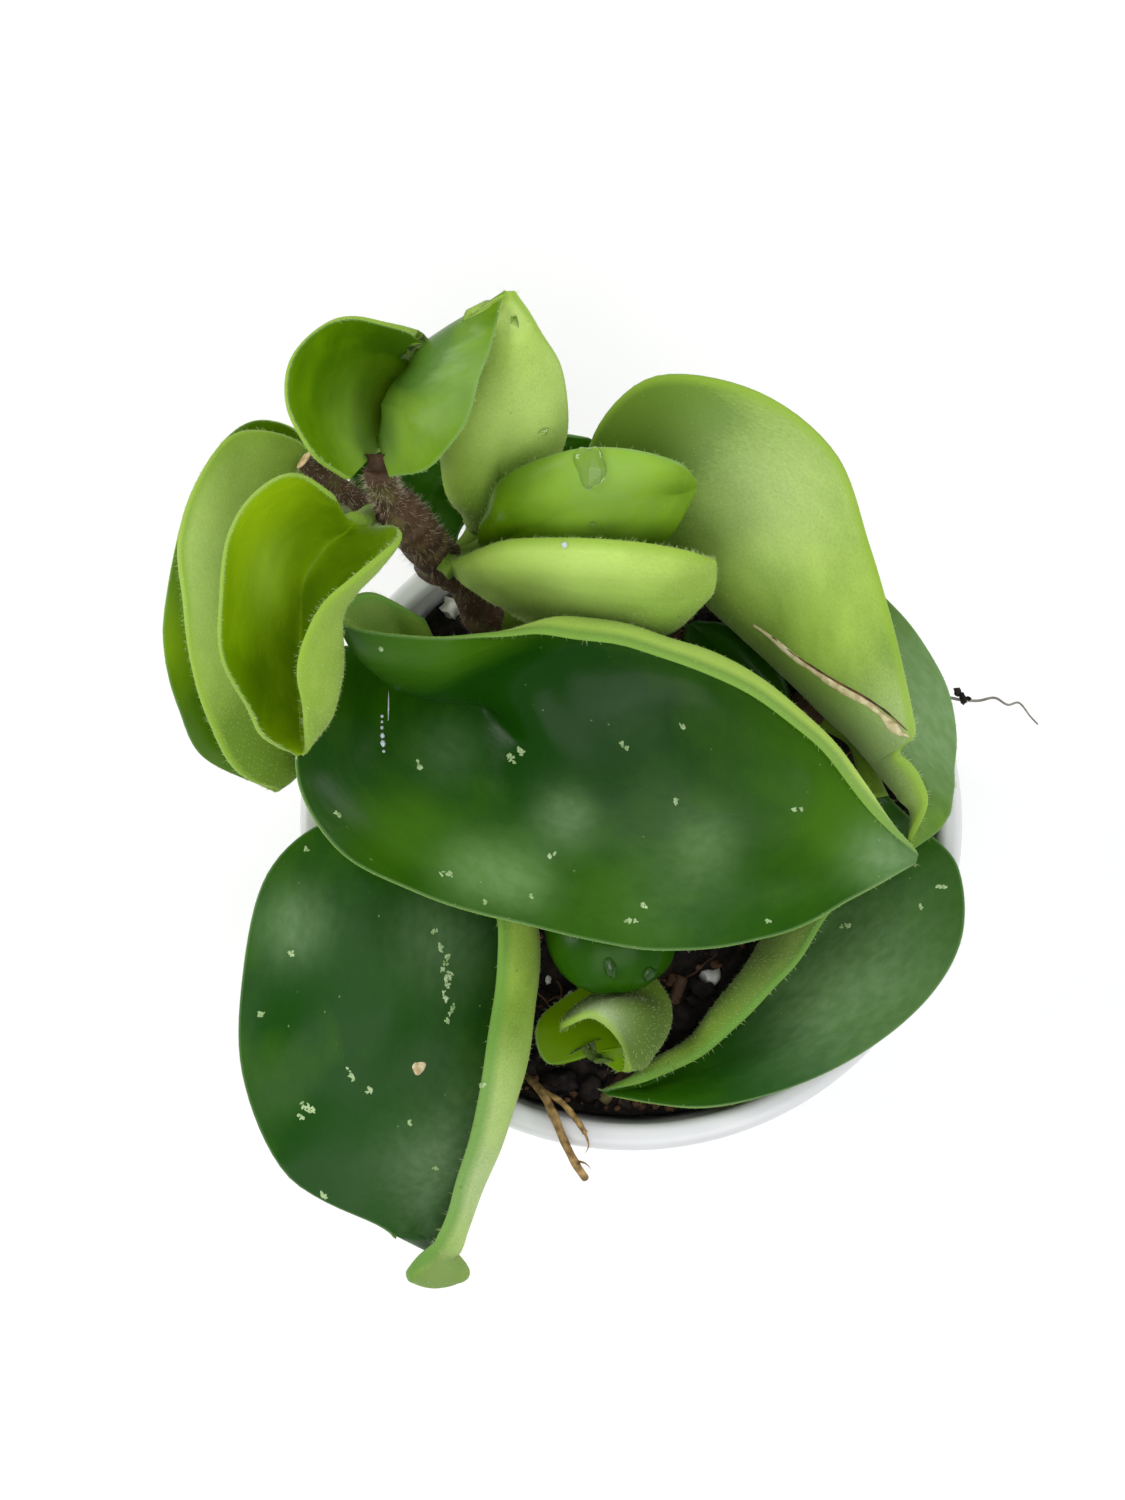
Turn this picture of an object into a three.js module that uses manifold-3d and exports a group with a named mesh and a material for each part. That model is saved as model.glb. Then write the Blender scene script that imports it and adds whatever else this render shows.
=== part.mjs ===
// Hindu rope plant: thick twisted leaves in a small white nursery pot.
// Millimetres, +Z up, origin at the centre of the underside of the pot.
import * as THREE from 'three';
import { mergeVertices } from 'three/addons/utils/BufferGeometryUtils.js';
import Module from 'manifold-3d';

const wasm = await Module();
wasm.setup();

// Pot
const potHeight = 50;
const rimDiameter = 60;
const footDiameter = 43;
const lipWidth = 2.3;
const lipHeight = 3.2;
const lipEdge = 0.6;
const wallThickness = 1.2;
const floorThickness = 1.5;
const potSides = 40;

// Soil
const soilBelowRim = 4;
const soilSides = 30;
const soilRings = 5;
const soilRelief = 0.45;
// Waves of the soil surface in radians per millimetre, their shifts and the share of the slanting one
const soilWave = { x: 0.55, xShift: 1.1, y: 0.5, yShift: 0.4, slant: 0.9, slantShare: 0.6 };

// Leaves
const bladeThickness = 1.5;
const marginThickness = 0.75;
const endThickness = 0.7;
const taperLength = 0.12;
// Part of the thickness on the glossy side of the middle surface: half, or less in a closely folded blade
const evenShare = 0.5;
const foldedShare = 0.12;
const baseWidth = 1.8;
const tipWidth = 0.9;
const petioleDiameter = 1.8;
// Factors that make a bow reach its full height mid-way to the margin, and a roll two thirds of the way
const bowScale = 4;
const rollScale = 6.75;
// How late a blade thins on its way to the margin
const marginPower = 4;

// Gap kept between pieces that grow from one another or rest on one another
const seatGap = 0.3;

// Sides of the tubes of stems and roots, and lengths drawn between two points of a petiole
const tubeSides = 8;
const rootSides = 6;
const petioleSteps = 2;

// Distance within which two points are the same one
const weldDistance = 1e-4;

// Colours of blades, from the oldest to the youngest, of a downy underside and of the rest
const looks = {
  mature: { color: 0x2f5a2b, roughness: 0.32 },
  bright: { color: 0x4f8a2a, roughness: 0.34 },
  young: { color: 0x8fb42c, roughness: 0.38 },
  downy: { color: 0x8fae5a, roughness: 0.7 },
  stem: { color: 0x5a3b2c, roughness: 0.8 },
  root: { color: 0x9a7440, roughness: 0.85 },
  soil: { color: 0x2a211c, roughness: 0.95 },
  pot: { color: 0xe9e9ec, roughness: 0.4 },
};

// Stems: a route of points, a diameter and how many lengths it is drawn in
const mainStem = [
  { route: [[-10, 17, 40], [-11.5, 17.5, 45], [-13.5, 18.5, 50], [-15, 20.5, 54.5], [-17, 21, 60]],
    width: 3.4, steps: 6 },
  { route: [[-17, 21, 59.5], [-18, 21.5, 64], [-19, 22, 68], [-20.5, 23.2, 71]],
    width: 3.8, steps: 4 },
  { route: [[-19.5, 22.5, 69], [-21, 23.7, 72.5], [-21.5, 25, 75.5]],
    width: 2.4, steps: 4 },
  { route: [[-18.8, 22, 67], [-21.5, 23, 68], [-23.5, 24, 67.5]],
    width: 2.6, steps: 3 },
  { route: [[-22.5, 23.5, 68], [-25, 25, 69.5], [-28, 27, 71.5]],
    width: 1.9, steps: 3 },
];
const frontStem = [
  { route: [[-12, 3.5, 38], [-12, 2.5, 46], [-12, 1.5, 53.5]],
    width: 3.2, steps: 4 },
];
const rightStem = [
  { route: [[17.5, 11.5, 38], [17, 10, 46], [16, 9.5, 51.5]],
    width: 3.2, steps: 4 },
];

// Dry root that lies over the lip, with a short side root
const frontRoot = [
  { route: [[-10, -22, 42], [-9.5, -23.2, 46.5], [-8, -25, 50.2], [-7, -27, 51], [-6, -29.4, 51.1],
    [-5, -31.3, 49.6], [-4.2, -32.4, 47.5]],
    width: 0.9, steps: 14 },
  { route: [[-8.4, -24.6, 49.4], [-6.4, -25.8, 51], [-5, -27.4, 51.4], [-4.2, -28.6, 51.1]],
    width: 0.8, steps: 5 },
];

// Leaves. A station runs across the blade, from the base to the tip of the leaf:
// [left margin, midrib, right margin, left bow, right bow, left roll],
// left and right as seen looking down on the glossy side towards the tip.
// A bow lifts the middle of that half towards the glossy side, a roll lifts its outer third.
// A swell is [place along the leaf, place across it from -1 to 1, height, length, width].
const leaves = {
  leaf_front: {
    look: 'mature', share: foldedShare, rows: 26, halfColumns: 5, tip: [24, -6, 64],
    stations: [
      [[-18, 14.5, 66], [-16.5, 10.5, 59], [-22.5, 13, 61.8], 0.3, 0, 0],
      [[-22.2, 15.8, 70.2], [-16, 10.5, 58.5], [-27.3, 12, 63.5], 1, -0.5, 0],
      [[-25, 14.1, 72], [-15.5, 10, 58.5], [-28.6, 6.5, 64.8], 2, -1, 0],
      [[-24, 12, 73.5], [-14.5, 9.5, 59], [-28.5, 0, 64.5], 2.8, -1.5, 0],
      [[-17.5, 11, 74.5], [-12.5, 9, 59.5], [-25, -5.5, 63.5], 2.4, -1.8, 0],
      [[-12, 11, 75], [-10.5, 7, 60], [-19, -8.5, 62.5], 0.6, -1.7, -1.6],
      [[-6.5, 11, 75], [-5.5, 2.5, 61], [-11, -11, 62], -1.8, -1.5, -3.8],
      [[4.5, 8.7, 74], [4.5, -1.5, 62], [1.5, -13.5, 62], -3, -1.2, -4.2],
      [[14.6, 3, 71], [13.5, -3.5, 62.5], [11.5, -12.5, 62.5], -2, -1, -2.4],
      [[20, -2.7, 67], [19.6, -5, 63.8], [18.5, -9.2, 63.5], -0.9, -0.5, -0.6],
    ],
    swells: [[0.56, 0.1, 1.6, 0.1, 0.35], [0.78, 0.45, 0.7, 0.08, 0.3]],
    petiole: [[-17, 10.5, 59.5], [-16, 12, 54.5], [-14, 14.5, 50], [-11, 17, 47.8]],
  },
  leaf_lower_left: {
    look: 'mature', share: foldedShare, rows: 23, halfColumns: 4,
    base: [-14.5, -1.5, 55.2], tip: [-19.5, -41.3, 50.3],
    stations: [
      [[-12.8, -5, 57.5], [-14, -4.5, 54], [-21, -3.5, 57], -1, 0.5],
      [[-12.5, -8.5, 58.5], [-12, -6.5, 53], [-27, -2, 58], -1.5, 1.5],
      [[-11.8, -11.5, 59], [-10.4, -10, 52.7], [-32, -6.6, 58], -1.5, 1.5],
      [[-12, -16.5, 59], [-10, -15.5, 52.5], [-34, -15, 57], -1.5, 1],
      [[-12.9, -22.5, 58.5], [-11, -22, 52.5], [-34, -24, 55.5], -1.5, 0.6],
      [[-14.3, -29.5, 56.5], [-13, -29, 52.2], [-30, -32.5, 54], -1.2, 0.3],
      [[-15.9, -34.5, 54.8], [-15.5, -34.5, 51], [-22, -36.8, 52.5], -0.8, 0],
      [[-17.1, -37.5, 54], [-15.9, -38, 50.5], [-20.8, -37.6, 52], -0.3, 0],
      [[-17.4, -38.2, 53.2], [-16.3, -38.6, 51], [-18.3, -38.9, 48.6], 0, 0],
      [[-18.9, -39.5, 51.8], [-17.6, -39.6, 51.4], [-14.7, -40.65, 48.3], 0, 0],
      [[-19.65, -40.3, 51.2], [-18.7, -40.4, 51.1], [-15.4, -41.5, 48.5], 0, 0],
      [[-19.9, -40.7, 50.9], [-19.2, -40.9, 50.8], [-17, -41.9, 49.2], 0, 0],
    ],
    swells: [[0.3, 0.55, 0.9, 0.12, 0.3], [0.62, 0.5, -0.6, 0.1, 0.3]],
    petiole: [[-14.5, -1.8, 55], [-14, 0, 54.6], [-13, 1.3, 53], [-12, 2.2, 51.2]],
  },
  leaf_lower_right: {
    look: 'mature', share: foldedShare, rows: 19, halfColumns: 4,
    base: [22, 1.5, 53], tip: [-2.5, -25, 49.6],
    stations: [
      [[25.2, -1, 52.5], [20.8, -2.5, 50.5], [20.5, -0.5, 55], 0, -0.6],
      [[29, -5, 52.6], [17.8, -7, 49.5], [20, -5, 57.5], 0.5, -1.1],
      [[29.1, -11.8, 52.8], [13.4, -11.7, 49], [17, -10, 57.5], 0.8, -1.1],
      [[25, -18, 52.8], [9.6, -16.3, 49], [13, -15.5, 57], 0.8, -0.9],
      [[17.2, -23.3, 52.5], [5.4, -21.3, 49], [8, -20.5, 54.5], 0.6, -0.7],
      [[7, -26.3, 52], [1.5, -24.2, 49.2], [3, -23.6, 51.6], 0.3, -0.4],
    ],
    swells: [[0.45, -0.5, 0.7, 0.12, 0.3]],
    petiole: [[21.8, 1, 52.8], [21, 4, 52.5], [20, 7, 51], [16.5, 9.5, 49]],
  },
  leaf_upper_right: {
    look: 'bright', share: foldedShare, rows: 34, halfColumns: 4,
    base: [3, 22, 53.5], tip: [24.6, -3.7, 55.5],
    stations: [
      [[7, 24.5, 52.5], [4.5, 21, 54.5], [-2.5, 26, 62], 0, -1],
      [[12, 27.5, 52.5], [6, 20, 55.5], [-3.5, 30.5, 67], -0.4, -2],
      [[17, 25.5, 52.5], [7.5, 18.5, 56.5], [1.5, 34.5, 71], -0.4, -3],
      [[21.5, 21, 52.5], [9.5, 16, 57.5], [10, 32.7, 73], -0.3, -3.5],
      [[25.5, 16.5, 53], [12, 13, 58], [16.7, 27.3, 73], -0.2, -3],
      [[28, 12, 53], [15, 10.5, 58], [19.7, 19.7, 71], 0, -2.5],
      [[29, 6.5, 53.5], [18, 7.8, 58], [22, 13, 68], 0, -2],
      [[28.8, 3.2, 54.3], [20.5, 5.3, 57.4], [23.8, 6.9, 64.4], 0, -1.1],
      [[28.6, 1.8, 54.9], [21.5, 4.4, 57.1], [24.2, 4.9, 62.8], 0, -0.6],
      [[28.3, 0.7, 55.3], [22.4, 3.5, 56.9], [23.1, 3.8, 61.2], 0, -0.2],
      [[28.1, -0.4, 55.4], [23.2, 2.6, 56.7], [24, 3, 60.5], 0, -0.3],
      [[27.8, -1.2, 55.5], [24.2, 1.3, 56.4], [25, 1.9, 59.7], 0, -0.3],
      [[26.9, -2.4, 55.6], [25.1, -0.6, 56.1], [25.7, -0.3, 58.5], 0, -0.2],
    ],
    petiole: [[3.3, 21.8, 53.7], [-3, 20.5, 52], [-8.5, 18.8, 50], [-13, 18, 49]],
  },
  leaf_top_back: {
    look: 'bright', rows: 17, halfColumns: 4, base: [-13.8, 24.3, 58], tip: [-10.5, 38, 82.8],
    stations: [
      [[-9.5, 25, 61.5], [-12.5, 25.3, 61], [-15, 25, 62], -0.8, -0.8],
      [[-7, 28, 66], [-12, 27, 67.5], [-16.5, 26, 67], -1.2, -1.2],
      [[-6, 30.5, 70.5], [-11, 29, 74.5], [-16.5, 30, 71], -1.2, -1.2],
      [[-6.5, 34.2, 75], [-10.5, 31.7, 78.4], [-15, 33.8, 74.5], -0.8, -0.8],
      [[-8.2, 36.4, 79], [-10.2, 35.5, 80.2], [-12.6, 36.3, 79], 0, 0],
    ],
    petiole: [[-13.8, 24, 58.3], [-15.3, 22.5, 57.3], [-17, 20.5, 56.5]],
  },
  leaf_top_heart: {
    look: 'bright', share: foldedShare, rows: 19, halfColumns: 4, tip: [-11, 36.7, 86.2],
    stations: [
      [[-23.5, 23, 80], [-21.5, 27.5, 73.5], [-20.5, 24, 77], -0.2, 1],
      [[-26.2, 24.4, 83.3], [-21.5, 29, 71.5], [-17.5, 24, 79], -0.2, 2.2],
      [[-27.9, 27.7, 85], [-21, 31, 70], [-15.5, 25.5, 80.5], -0.2, 3.2],
      [[-27.5, 31.9, 85], [-20.5, 32.3, 69.5], [-14, 27.5, 81.5], -0.2, 3.4],
      [[-24.7, 35.5, 83], [-19.4, 33.8, 72.5], [-13, 30.5, 82.5], -0.2, 3],
      [[-18.74, 35.55, 79.8], [-17.9, 34.9, 77.2], [-12, 33, 83.5], 0, 1.8],
      [[-15.85, 33.13, 75.5], [-14.5, 36.3, 80.8], [-11.5, 35, 84.7], 0, 0.6],
    ],
    petiole: [[-21.5, 26.3, 75.8], [-21.5, 25, 75.4]],
  },
  leaf_inner_back: {
    look: 'bright', rows: 15, halfColumns: 3, base: [-13, 22, 61], tip: [5, 24, 74.5],
    stations: [
      [[-13, 23.5, 67.5], [-11.5, 21.5, 65.5], [-10.5, 20, 63], 0.4, 0.4],
      [[-10.8, 25.3, 73.2], [-8.5, 22, 71], [-7.5, 19.5, 64.5], 0.6, 0.6],
      [[-6, 26.4, 76.3], [-4.5, 22.5, 74], [-4, 19, 66], 0.6, 0.6],
      [[-1.3, 26.4, 77.3], [-0.5, 23, 75], [-0.5, 19, 67.5], 0.5, 0.5],
      [[3.3, 25.3, 77.1], [3, 23.5, 74.5], [2.5, 20.5, 70.5], 0.3, 0.3],
    ],
    petiole: [[-12.9, 21.9, 61.4], [-15, 21.5, 60], [-17, 21, 60]],
  },
  leaf_inner_front: {
    look: 'downy', rows: 17, halfColumns: 3, base: [-16, 19.8, 63.5], tip: [6.6, 18, 72.2],
    stations: [
      [[-14, 18.5, 61.5], [-13.5, 18.5, 65.5], [-14, 20, 67.5], -0.4, -0.4],
      [[-10.5, 17, 59.5], [-10, 17.5, 69], [-10.5, 20, 72], -0.9, -0.9],
      [[-6.5, 15, 59], [-5.5, 16.5, 71], [-5.5, 19.5, 74.5], -1.1, -1],
      [[-0.5, 14, 60], [-1, 16, 72], [-1, 19, 75.5], -1.1, -1],
      [[3, 14.5, 62.5], [3, 15.5, 72], [2.5, 18.5, 75.5], -0.9, -0.8],
      [[5.5, 16, 66.5], [5.5, 16.5, 71.5], [5, 18, 75], -0.4, -0.4],
    ],
    petiole: [[-15.6, 19.6, 63.7], [-18, 21, 63]],
  },
  leaf_left_young: {
    look: 'young', share: foldedShare, rows: 21, halfColumns: 4,
    base: [-23.5, 21, 73.5], tip: [-27.6, 1.2, 74.6],
    stations: [
      [[-20, 19.5, 78.5], [-24.5, 20, 73.5], [-24.7, 21.3, 80], -0.3, -0.2],
      [[-19.5, 18, 80.5], [-26, 19, 73.5], [-27.5, 22.2, 84.5], -1, -0.2],
      [[-20.5, 16.5, 82], [-27.5, 17, 73], [-30.4, 20.2, 86], -1.3, -0.2],
      [[-22.7, 14, 84], [-28, 15.5, 72.5], [-32.4, 16.6, 86], -1.2, -0.2],
      [[-25.1, 11.5, 85], [-28, 13.5, 72.5], [-32.9, 11.5, 85.5], -1.4, -0.2],
      [[-26.5, 8.5, 85.5], [-28, 11, 72.5], [-32.9, 7.5, 84], -2, -0.2],
      [[-27, 6, 84.5], [-28, 8, 72.5], [-31.4, 4.1, 81.5], -2.3, -0.2],
      [[-26.9, 3.5, 81], [-28, 4.5, 73], [-30.2, 2.1, 78.5], -1.7, -0.1],
    ],
    petiole: [[-23.6, 20.8, 73.4], [-23, 22, 71], [-22.5, 23, 68.5]],
  },
  leaf_left_outer: {
    look: 'downy', share: foldedShare, rows: 21, halfColumns: 4,
    base: [-25, 25.5, 64.5], tip: [-31.5, 0.7, 59],
    stations: [
      [[-28.5, 29, 70], [-26, 24.5, 62.5], [-28.5, 30.5, 66], -0.5, -0.5],
      [[-33.5, 29, 73], [-26.5, 22.5, 61.5], [-32.5, 31.5, 68], -1, -0.8],
      [[-36.5, 25, 74], [-27, 20, 60.5], [-35.7, 28.6, 69], -1.5, -1],
      [[-38.3, 19.5, 73.5], [-27, 17, 60], [-38.4, 23.3, 68.5], -1.5, -1],
      [[-38, 14.5, 72], [-27.5, 13.5, 59.5], [-40.3, 16, 66], -1.5, -1],
      [[-37.5, 10, 70], [-28, 9.5, 59], [-40.5, 12, 64.5], -1.5, -0.8],
      [[-36.5, 6, 67], [-29, 6, 58.5], [-39.5, 7.5, 62], -1, -0.5],
      [[-34.5, 2, 63], [-30, 3, 58.5], [-37.5, 3.5, 60], -0.5, 0],
    ],
    petiole: [[-25.2, 25.2, 64.2], [-24, 24.5, 66], [-23, 24, 67.5]],
  },
  leaf_rear: {
    look: 'mature', rows: 13, halfColumns: 3, base: [-16.5, 23, 54.5], tip: [-3.5, 32.7, 58],
    stations: [
      [[-21, 24.5, 56], [-17.5, 25, 55.5], [-15.5, 25, 54.5], -0.5, -0.3],
      [[-25, 27.5, 58], [-18, 28, 57], [-14, 26.5, 55.5], -1, -0.5],
      [[-23.5, 31, 60], [-15.5, 30, 58], [-10.5, 27.5, 56.5], -1, -0.5],
      [[-16, 33.5, 60.5], [-10, 31, 58], [-7, 29.5, 57.5], -0.5, -0.3],
    ],
    petiole: [[-16.6, 23.3, 54.6], [-16, 21, 54]],
  },
  leaf_small_dark: {
    look: 'mature', rows: 11, halfColumns: 3, base: [-2, -5, 52.5], tip: [-1.5, -16.5, 55],
    stations: [
      [[2, -7.5, 54.5], [-2, -8.5, 56.5], [-6, -7.5, 54.5], 1, 1],
      [[3.5, -11.5, 55.5], [-2, -12.5, 58.2], [-7.6, -11, 55.5], 1.2, 1.2],
      [[3, -14.2, 55], [-2, -15.3, 57.2], [-6.3, -14.2, 55], 1, 1],
    ],
    petiole: [[-2, -5.3, 52.3], [-5, -2, 52], [-8.5, 0.8, 52], [-12, 1.5, 52]],
  },
  leaf_small_curl: {
    look: 'young', rows: 15, halfColumns: 3, share: foldedShare,
    base: [0, -13.5, 49.3], tip: [-1, -23.2, 52],
    stations: [
      [[-4.5, -17.5, 52], [2.4, -15.9, 50.5], [-6.5, -16.8, 50], -0.8, -0.4],
      [[-6.5, -19.5, 54.8], [2.8, -17.8, 51.8], [-8.6, -19.5, 51.5], -1.3, -0.8],
      [[-3.5, -19, 56.5], [2, -20, 53.3], [-7.5, -22.5, 51.5], -1.5, -0.8],
      [[-1, -20.7, 55.5], [0.6, -21.6, 53], [-4, -21.8, 51], -1, -0.4],
    ],
    petiole: [[0, -13.2, 49.3], [-2.5, -8, 48.3], [-7.5, -2.5, 48.2], [-12, 1.5, 48.5]],
  },
  leaf_shade: {
    look: 'mature', rows: 11, halfColumns: 3, base: [14.5, 8, 50], tip: [5.3, 17.2, 52],
    stations: [
      [[11, 7, 51], [12.5, 9.5, 51.2], [14, 11.5, 51.5], 0.6, 0.6],
      [[7, 9, 52], [10, 12, 52.3], [12.5, 14, 52.2], 0.8, 0.8],
      [[5, 13, 52], [7.5, 14.8, 52.4], [10, 16.5, 52.5], 0.6, 0.6],
    ],
    petiole: [[14.3, 8.2, 50.1], [17, 9.8, 49]],
  },
};

// A solid for joining and cutting, from a closed three.js geometry
function solidOf(geometry) {
  const bare = geometry.clone();
  bare.deleteAttribute('normal');
  bare.deleteAttribute('uv');
  const merged = mergeVertices(bare, weldDistance);
  return new wasm.Manifold(new wasm.Mesh({
    numProp: 3,
    vertProperties: new Float32Array(merged.attributes.position.array),
    triVerts: new Uint32Array(merged.index.array),
  }));
}

function geometryOf(solid) {
  const mesh = solid.getMesh();
  const geometry = new THREE.BufferGeometry();
  geometry.setAttribute('position', new THREE.BufferAttribute(mesh.vertProperties, 3));
  geometry.setIndex(new THREE.BufferAttribute(mesh.triVerts, 1));
  geometry.computeVertexNormals();
  return geometry;
}

function addPiece(group, name, solid, look) {
  const material = new THREE.MeshStandardMaterial({ ...looks[look], metalness: 0 });
  const mesh = new THREE.Mesh(geometryOf(solid), material);
  mesh.name = name;
  group.add(mesh);
}

function curveThrough(points) {
  return new THREE.CatmullRomCurve3(points, false, 'catmullrom', 0.5);
}

function vectors(points) {
  return points.map((point) => new THREE.Vector3(...point));
}

function circle(radius, sides) {
  const shape = new THREE.Shape();
  for (let i = 0; i < sides; i += 1) {
    const angle = (2 * Math.PI * i) / sides;
    if (i === 0) {
      shape.moveTo(radius, 0);
    } else {
      shape.lineTo(radius * Math.cos(angle), radius * Math.sin(angle));
    }
  }
  shape.closePath();
  return shape;
}

// A tube along a route, grown by extra all round and at both ends
function tube(route, width, steps, sides, extra = 0) {
  const points = vectors(route);
  const last = points.length - 1;
  const before = new THREE.Vector3().subVectors(points[0], points[1]).setLength(extra);
  const after = new THREE.Vector3().subVectors(points[last], points[last - 1]).setLength(extra);
  points[0].add(before);
  points[last].add(after);
  const options = { steps, extrudePath: curveThrough(points), bevelEnabled: false };
  return solidOf(new THREE.ExtrudeGeometry(circle(width / 2 + extra, sides), options));
}

// Several tubes grown into one
function branches(list, sides, extra = 0) {
  return list
    .map(({ route, width, steps }) => tube(route, width, steps, sides, extra))
    .reduce((whole, next) => whole.add(next));
}

function lathe(profile, sides) {
  const points = profile.map(([radius, height]) => new THREE.Vector2(radius, height));
  const geometry = new THREE.LatheGeometry(points, sides);
  geometry.rotateX(Math.PI / 2);
  return geometry;
}

// Radius of the inner wall of the pot at a height
function innerRadius(height) {
  const footInner = footDiameter / 2 - wallThickness;
  const lipInner = rimDiameter / 2 - lipWidth;
  return footInner + ((lipInner - footInner) * height) / potHeight;
}

function makePot() {
  const rim = rimDiameter / 2;
  const foot = footDiameter / 2;
  const underLip = potHeight - lipHeight;
  const lipInner = rim - lipWidth;
  const profile = [
    [0, 0],
    [foot - lipEdge, 0],
    [foot, lipEdge],
    [innerRadius(underLip) + wallThickness, underLip],
    [rim - lipEdge / 2, underLip],
    [rim, underLip + lipEdge],
    [rim, potHeight - lipEdge],
    [rim - lipEdge, potHeight],
    [lipInner + lipEdge, potHeight],
    [lipInner, potHeight - lipEdge],
    [innerRadius(floorThickness), floorThickness],
    [0, floorThickness],
  ];
  return solidOf(lathe(profile, potSides));
}

// Unevenness of the soil surface
function soilHeight(x, y) {
  const squares = Math.sin(soilWave.x * x + soilWave.xShift) * Math.cos(soilWave.y * y - soilWave.yShift);
  const slanting = soilWave.slantShare * Math.sin(soilWave.slant * (x + y));
  return soilRelief * (squares + slanting);
}

function makeSoil(stems) {
  const bottom = floorThickness + seatGap;
  const top = potHeight - soilBelowRim;
  const edge = innerRadius(top) - seatGap;
  const profile = [[0, bottom], [innerRadius(bottom) - seatGap, bottom]];
  for (let ring = 0; ring <= soilRings; ring += 1) {
    profile.push([edge * (1 - ring / soilRings), top]);
  }
  const geometry = lathe(profile, soilSides);
  const position = geometry.attributes.position;
  for (let i = 0; i < position.count; i += 1) {
    const x = position.getX(i);
    const y = position.getY(i);
    const inside = Math.hypot(x, y) < edge - seatGap;
    const onTop = position.getZ(i) > top - seatGap;
    if (inside && onTop) {
      position.setZ(i, top + soilHeight(x, y));
    }
  }
  return stems.reduce((soil, stem) => soil.subtract(stem), solidOf(geometry));
}

// Ends of a leaf: a short line across the blade, at the base and at the tip
function acrossEnd(point, width, left, right) {
  const middle = new THREE.Vector3(...point);
  const across = new THREE.Vector3().subVectors(right, left).setLength(width / 2);
  return { left: middle.clone().sub(across), rib: middle, right: middle.clone().add(across) };
}

function stationLines(leaf) {
  const left = vectors(leaf.stations.map((station) => station[0]));
  const rib = vectors(leaf.stations.map((station) => station[1]));
  const right = vectors(leaf.stations.map((station) => station[2]));
  const last = left.length - 1;
  const base = leaf.base && acrossEnd(leaf.base, baseWidth, left[0], right[0]);
  const tip = acrossEnd(leaf.tip, tipWidth, left[last], right[last]);
  const start = leaf.base ? [base] : [];
  return {
    left: [...start.map((end) => end.left), ...left, tip.left],
    rib: [...start.map((end) => end.rib), ...rib, tip.rib],
    right: [...start.map((end) => end.right), ...right, tip.right],
  };
}

function direction(points, k) {
  const next = points[Math.min(k + 1, points.length - 1)];
  const previous = points[Math.max(k - 1, 0)];
  return new THREE.Vector3().subVectors(next, previous).normalize();
}

// Glossy-side normal of one half at each station; side is 1 for the left half and -1 for the right
function halfNormals(edge, rib, side) {
  return rib.map((middle, k) => {
    const along = direction(edge, k).add(direction(rib, k));
    const across = new THREE.Vector3().subVectors(edge[k], middle);
    return new THREE.Vector3().crossVectors(along, across).multiplyScalar(side).normalize();
  });
}

// Bow of the left half, bow of the right half and roll of the left half, nothing at base and tip
function liftsOf(leaf) {
  const lifts = leaf.stations.map(([, , , left, right, roll = 0]) => new THREE.Vector3(left, right, roll));
  const start = leaf.base ? [new THREE.Vector3()] : [];
  return [...start, ...lifts, new THREE.Vector3()];
}

// Middle surface of a blade: rows from base to tip, columns from the left margin to the right one
function middleSurface(leaf) {
  const lines = stationLines(leaf);
  const curves = {
    left: curveThrough(lines.left),
    rib: curveThrough(lines.rib),
    right: curveThrough(lines.right),
    leftNormal: curveThrough(halfNormals(lines.left, lines.rib, 1)),
    rightNormal: curveThrough(halfNormals(lines.right, lines.rib, -1)),
    lift: curveThrough(liftsOf(leaf)),
  };
  const surface = [];
  for (let i = 0; i < leaf.rows; i += 1) {
    const t = i / (leaf.rows - 1);
    const rib = curves.rib.getPoint(t);
    const lift = curves.lift.getPoint(t);
    const row = [];
    for (let j = -leaf.halfColumns; j <= leaf.halfColumns; j += 1) {
      const s = Math.abs(j) / leaf.halfColumns;
      const edge = (j < 0 ? curves.left : curves.right).getPoint(t);
      const normal = (j < 0 ? curves.leftNormal : curves.rightNormal).getPoint(t).normalize();
      const bow = (j < 0 ? lift.x : lift.y) * bowScale * s * (1 - s);
      const roll = (j < 0 ? lift.z : 0) * rollScale * s * s * (1 - s);
      row.push(rib.clone().lerp(edge, s).addScaledVector(normal, bow + roll));
    }
    surface.push(row);
  }
  return surface;
}

function surfaceNormals(surface) {
  const at = (i, j) => {
    const row = surface[Math.min(Math.max(i, 0), surface.length - 1)];
    return row[Math.min(Math.max(j, 0), row.length - 1)];
  };
  return surface.map((row, i) => row.map((point, j) => {
    const across = new THREE.Vector3().subVectors(at(i, j + 1), at(i, j - 1));
    const along = new THREE.Vector3().subVectors(at(i + 1, j), at(i - 1, j));
    return new THREE.Vector3().crossVectors(across, along).normalize();
  }));
}

// Rounded swells pushed out of the middle surface
function swell(surface, leaf) {
  const normals = surfaceNormals(surface);
  surface.forEach((row, i) => row.forEach((point, j) => {
    const t = i / (leaf.rows - 1);
    const s = j / leaf.halfColumns - 1;
    const height = (leaf.swells ?? []).reduce((sum, [place, side, lift, length, width]) => (
      sum + lift * Math.exp(-(((t - place) / length) ** 2) - ((s - side) / width) ** 2)
    ), 0);
    point.addScaledVector(normals[i][j], height);
  }));
}

// Thickness of a blade: full along the midrib, thin at the margins and towards base and tip
function thicknessAt(t, s) {
  const across = marginThickness + (bladeThickness - marginThickness) * (1 - s ** marginPower);
  const end = Math.max(0, 1 - Math.min(t, 1 - t) / taperLength);
  return across + (endThickness - across) * end;
}

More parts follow.
